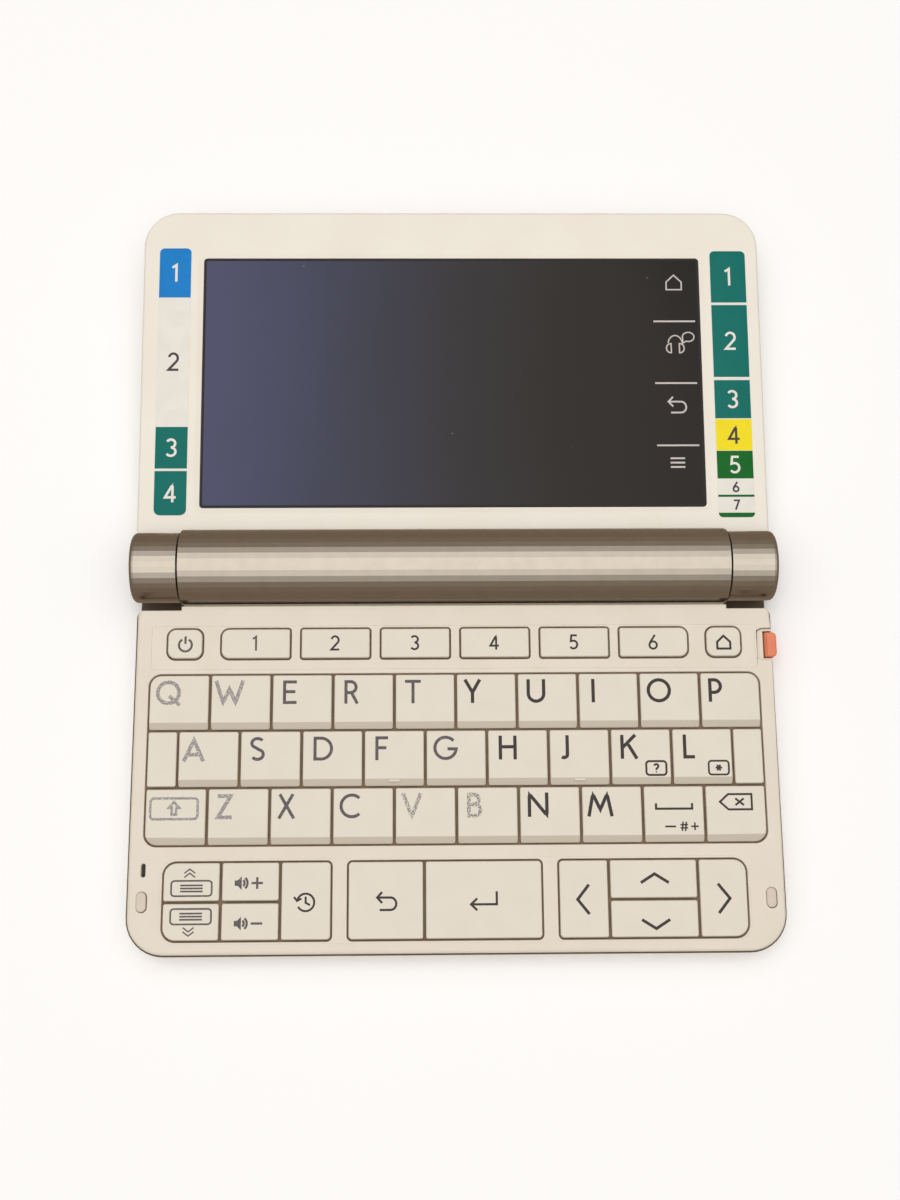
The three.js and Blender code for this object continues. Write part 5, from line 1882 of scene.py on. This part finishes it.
    def build_labels(self, finishes: Finishes, marks: dict[str, Mark]) -> None:
        """Makes the two label strips: a white film, colour blocks on it, and plain numbers.

        Args:
            finishes: the finishes.
            marks: the marks that can be printed.
        """
        for side, edges, blocks in LABELS:
            strip = LabelStrip(edges, min(block[1] for block in blocks), max(block[2] for block in blocks))
            film = strip.film(self.face)
            self.piece(f"label_{side}_film", film, finishes.get("film"), Slot.GLOSS)
            colours: dict[str, Skin] = {}
            captions: dict[str, Skin] = {"film": Skin(), "caption": Skin()}
            for colour, near, far, digit in blocks:
                if colour != "film":
                    strip.block(colours.setdefault(colour, Skin()), near, far, self.face)
                if digit:
                    tint = "caption" if colour in ("film", "yellow") else "film"
                    strip.number(captions[tint], marks[digit], near, far, self.face)
            for colour, skin in colours.items():
                self.piece(f"label_{side}_{colour}", skin, finishes.get(colour), Slot.GLOSS)
            for tint, skin in captions.items():
                if skin.points:
                    self.piece(f"label_{side}_numbers_{tint}", skin, finishes.get(tint), Slot.GLOSS)


@dataclass
class LabelStrip:
    """A sticker on the bezel: a white film from its start to its end, with colour blocks and numbers on it.

    The corner radii belong to the near end and the far end. A number's size and stroke width are shares of
    its block and its size, between limits.
    """

    edges: tuple[float, float]
    start: float
    end: float
    overlap: float = 0.1
    film_corners: tuple[float, float] = (1.6, 1.3)
    film_sink: float = 0.02
    film_rise: float = 0.04
    film_edge: float = 0.02
    block_margin: float = 0.12
    block_corners: tuple[float, float] = (1.45, 1.15)
    block_square: float = 0.02
    block_straight: float = 0.05
    block_rise: float = 0.055
    block_edge: float = 0.01
    number_size: float = 4.4
    number_share: float = 0.62
    stroke: float = 0.42
    stroke_share: float = 0.13
    half_width_share: float = 0.3

    def film(self, face: float) -> Skin:
        """The white film on the bezel's face at that height.

        Args:
            face: height of the bezel's face.

        Returns:
            The film's skin.
        """
        near, far = self.film_corners
        start, end = self.start - self.overlap, self.end + self.overlap
        loop = rounded(*self.edges, start, end, [near, near, far, far], 6)
        return Skin().plate(loop, [], face - self.film_sink, face + self.film_rise, self.film_edge, 0)

    def block(self, skin: Skin, near: float, far: float, face: float) -> None:
        """Adds a colour block, with round corners where it lies at an end of the strip.

        Args:
            skin: the skin of the block's colour.
            near: the block's near edge.
            far: its far edge.
            face: height of the bezel's face.
        """
        x0, x1 = self.edges
        corners = self.block_corners
        radii = [corners[0] if near == self.start else self.block_square] * 2
        radii += [corners[1] if far == self.end else self.block_square] * 2
        radii = np.minimum(radii, far - near - self.block_straight)
        loop = rounded(x0 + self.block_margin, x1 - self.block_margin, near, far, radii, 5)
        skin.plate(loop, [], face, face + self.block_rise, self.block_edge, 0)

    def number(self, skin: Skin, mark: Mark, near: float, far: float, face: float) -> None:
        """Prints a number in the middle of its block.

        Args:
            skin: the skin of the print's colour.
            mark: the number.
            near: the block's near edge.
            far: its far edge.
            face: height of the bezel's face.
        """
        size = min(self.number_size, (far - near) * self.number_share)
        left = sum(self.edges) / 2 - size * self.half_width_share
        weight = max(size * self.stroke_share, self.stroke)
        mark.print(skin, left, (near + far - size) / 2, size, weight, face + self.block_rise)


# Touch icons: name, left edge, lower edge, height, stroke width
PANEL_ICONS = [
    ("home", 51.4, 68.0, 4.15, 0.34),
    ("phones", 51.05, 52.2, 5.2, 0.3),
    ("return", 51.25, 37.15, 4.2, 0.42),
    ("menu", 51.4, 23.9, 2.65, 0.42),
]

# Label strips: side, edges across, and blocks as finish, near edge, far edge and plain number
LABELS = [
    ("right", (62.2, 71.0), [
        ("teal", 64.77, 77.79, "1"), ("teal", 46.16, 64.14, "2"), ("teal", 35.95, 45.38, "3"),
        ("yellow", 28.08, 35.75, "4"), ("green", 21.25, 28.0, "5"), ("film", 17.34, 21.25, "6"),
        ("green", 16.8, 17.34, ""), ("film", 13.0, 16.8, "7"), ("green", 11.9, 13.0, ""),
    ]),
    ("left", (-70.3, -62.5), [
        ("blue", 66.1, 78.5, "1"), ("film", 34.1, 66.1, "2"), ("teal", 24.0, 34.1, "3"),
        ("teal", 12.75, 23.4, "4"),
    ]),
]


# Barrel, stylus and what lies inside


@dataclass
class StylusShape:
    """Sizes of the stylus: a shaft with a small round tip, and a head that narrows towards its lower edge."""

    radius: float = 1.4
    axis_height: float = 3.05
    tip: float = 0.5
    tip_flat: float = 0.02
    taper: float = 3.0
    lap: float = 1.0
    head: float = 2.8
    head_corners: tuple[float, float] = (0.4, 1.1)
    head_edge: float = 0.5
    head_tuck: float = 1.2
    steps: int = 24


class Mechanism:
    """The barrel, its caps and door, the stylus, the case, the board and the cells."""

    metal_edge = 0.12
    metal_smooth_deg = 4
    case_edge = 0.2

    def __init__(self, finishes: Finishes) -> None:
        """Keeps the finishes."""
        self.finishes = finishes

    def build(self) -> None:
        """Makes every piece."""
        get = self.finishes.get
        for node, body in (
            ("hinge_barrel", Body.BASE),
            ("battery_door", Body.DOOR),
            ("hinge_cap_left", Body.LID),
            ("hinge_cap_right", Body.LID),
        ):
            name = f"{node}_shell"
            soften(node, name, get("metal"), body.value, Slot.METAL, self.metal_edge, self.metal_smooth_deg)
        soften("lower_case", "lower_case_tub", get("ivory"), Body.BASE.value, Slot.IVORY, self.case_edge)
        for node, finish in (("main_board", "board"), ("battery_cells", "cell")):
            obj = frame["nodes"][node]
            obj.data.materials.clear()
            obj.data.materials.append(get(finish))
        self.build_stylus()

    def build_stylus(self) -> None:
        """Makes the stylus: a turned shaft with a rounded tip, and a head whose edges are rounded."""
        s = StylusShape()
        low, high = (np.array(corner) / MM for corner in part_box("stylus"))
        head_x = high[0] - s.head
        angle = np.radians(np.linspace(0, 90, 6))
        tip = np.column_stack([low[0] + s.tip * (1 - np.cos(angle)), s.tip * np.sin(angle)])
        tip[0, 1] = s.tip_flat
        profile = np.vstack([tip, line((low[0] + s.taper, s.radius), (head_x + s.lap, s.radius))])
        shaft = Skin().turned(profile, s.steps).moved(0, (low[1] + high[1]) / 2, s.axis_height)
        inner, outer = s.head_corners
        outline = rounded(head_x, high[0], low[1], high[1], [inner, outer, outer, inner], 6)
        wall_top = high[2] - s.head_edge
        rings = []
        for share in np.linspace(0, 1, 7):
            ring = outline.copy()
            tuck = s.head_tuck * (1 - share) ** 2
            ring[:, 0] = head_x + (ring[:, 0] - head_x) * (high[0] - head_x - tuck) / (high[0] - head_x)
            rings.append(at_height(ring, low[2] + (wall_top - low[2]) * share))
        for turn in angle[1:]:
            moved = inset(outline, s.head_edge * (1 - np.cos(turn)))
            rings.append(at_height(moved, wall_top + s.head_edge * np.sin(turn)))
        orange = self.finishes.get("orange")
        head = Skin().loft(rings)
        stylus = make("stylus_head", head, orange, Body.STYLUS.value, Slot.ORANGE, weighted=True)
        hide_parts("stylus")
        make("stylus_shaft", shaft, orange, Body.STYLUS.value, Slot.ORANGE)


# Studio


# The sky's colour by the cosine of the angle from its brightest place: a brown room under a bright ceiling
SKY_STOPS = [
    (0.00, "#6C6054"),
    (0.30, "#746B61"),
    (0.60, "#79736E"),
    (0.66, "#A9A8A7"),
    (0.83, "#B9B9B8"),
    (0.89, "#E9E9E9"),
    (1.00, "#F2F2F2"),
]
SKY_STRENGTH = 2.0
SKY_AXIS = (-0.03, -0.04, 0.999)


@dataclass
class Studio:
    """The pale floor, the soft light and the camera at the photograph's angle."""

    lens: float = 45.589
    sensor: float = 36.0
    target: tuple[float, float, float] = (-1.0708, -7.7377, 8.3)
    distance: float = 351.53
    pitch_deg: float = 12.944
    yaw_deg: float = -1.045
    roll_deg: float = -0.234
    clip_m: tuple[float, float] = (0.01, 20.0)
    floor_half: float = 3000.0
    floor_drop: float = 0.02
    floor_roughness: float = 0.9
    floor_ior: float = 1.2
    lamp_m: float = 0.3
    lamp_watts: float = 0.55
    lamp_place: tuple[float, float, float] = (-50.0, 50.0, 700.0)
    lamp_turn_deg: float = -4.0

    def build(self) -> None:
        """Makes the floor, the world, the lamps and the camera."""
        self.build_floor()
        self.build_world()
        self.build_lamps()
        self.build_camera()

    def build_camera(self) -> None:
        """Places the camera: it looks down its own -z, pitched up to the front, then yawed and rolled."""
        turn = (
            Matrix.Rotation(np.radians(self.pitch_deg), 3, "X")
            @ Matrix.Rotation(np.radians(self.yaw_deg), 3, "Y")
            @ Matrix.Rotation(np.radians(self.roll_deg), 3, "Z")
        )
        data = bpy.data.cameras.new("camera")
        data.lens, data.sensor_width = self.lens, self.sensor
        data.clip_start, data.clip_end = self.clip_m
        camera = bpy.data.objects.new("camera", data)
        place = np.array(self.target) + np.array(turn.col[2]) * self.distance
        camera.matrix_world = Matrix.Translation(place * MM) @ turn.to_4x4()
        bpy.context.scene.collection.objects.link(camera)
        bpy.context.scene.camera = camera

    def build_floor(self) -> None:
        """Makes the floor: pale, with the object's shadow on it, and not mirrored in the object."""
        half = self.floor_half
        mesh = bpy.data.meshes.new("floor")
        square = line((-half, -half), (half, -half), (half, half), (-half, half))
        corners = at_height(square, -self.floor_drop) * MM
        mesh.from_pydata(corners.tolist(), [], [[0, 1, 2, 3]])
        floor = bpy.data.objects.new("floor", mesh)
        bpy.context.scene.collection.objects.link(floor)
        material = bpy.data.materials.new("pale_floor")
        tree = fresh_tree(material)
        paint = {"Base Color": linear("#FFFFFF"), "Roughness": self.floor_roughness, "IOR": self.floor_ior}
        shader = add_node(tree, "ShaderNodeBsdfPrincipled", paint, {})
        add_node(tree, "ShaderNodeOutputMaterial", {}, {"Surface": shader.outputs["BSDF"]})
        mesh.materials.append(material)
        floor.visible_glossy = False
        floor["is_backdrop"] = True

    def build_world(self) -> None:
        """Makes the sky: bright overhead and darker towards the horizon, and plain white to the camera."""
        world = bpy.data.worlds.new("studio")
        bpy.context.scene.world = world
        tree = fresh_tree(world)
        place = add_node(tree, "ShaderNodeTexCoord", {}, {}).outputs["Generated"]
        facing = add_node(tree, "ShaderNodeVectorMath", {"operation": "DOT_PRODUCT", 1: SKY_AXIS}, {0: place})
        glow = banded(tree, facing.outputs["Value"], SKY_STOPS)
        sky = add_node(tree, "ShaderNodeBackground", {"Strength": SKY_STRENGTH}, {"Color": glow})
        white = add_node(tree, "ShaderNodeBackground", {"Color": linear("#FFFFFF"), "Strength": 1.0}, {})
        path = add_node(tree, "ShaderNodeLightPath", {}, {})
        links = {"Fac": path.outputs["Is Camera Ray"], 1: sky.outputs["Background"]}
        links[2] = white.outputs["Background"]
        mix = add_node(tree, "ShaderNodeMixShader", {}, links)
        add_node(tree, "ShaderNodeOutputWorld", {}, {"Surface": mix.outputs["Shader"]})

    def build_lamps(self) -> None:
        """Makes one soft lamp overhead, a little to the left and the back. Gloss mirrors the sky alone."""
        data = bpy.data.lights.new("overhead", "AREA")
        data.shape, data.size, data.energy = "DISK", self.lamp_m, self.lamp_watts
        lamp = bpy.data.objects.new("overhead", data)
        place = Matrix.Translation(np.array(self.lamp_place) * MM)
        lamp.matrix_world = place @ Matrix.Rotation(np.radians(self.lamp_turn_deg), 4, "X")
        lamp.visible_glossy = False
        bpy.context.scene.collection.objects.link(lamp)


# The barrel's grooves scatter what stands close to it, so only the metal and the dark ring of painted shade
# round the deck are mirrored, and that ring darkens the barrel's lowest facets
MIRRORED = ("hinge_", "battery_door", "keyboard_deck_seam")


def keep_out_of_mirrors() -> None:
    """Takes the case, the keys and the lid's face out of what glossy surfaces mirror."""
    for obj in bpy.context.scene.objects:
        if obj.type == "MESH" and not obj.name.startswith(MIRRORED):
            obj.visible_glossy = False


def main() -> None:
    """Builds the studio and then the object, sub-assembly by sub-assembly."""
    logging.basicConfig(level=logging.INFO, format="%(message)s")
    bpy.context.scene.view_settings.view_transform = "Standard"
    finishes = Finishes()
    Studio().build()
    keyboard = Keyboard(finishes)
    keyboard.build()
    Deck().build(finishes, keyboard.wells())
    Trim().build(finishes)
    Lid().build(finishes, keyboard.marks)
    Mechanism(finishes).build()
    keep_out_of_mirrors()
    corners = {"cad": cad_corners, "visual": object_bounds()}
    {name: [list(low), list(high)] for name, (low, high) in corners.items()}


if __name__ == "__main__":
    main()
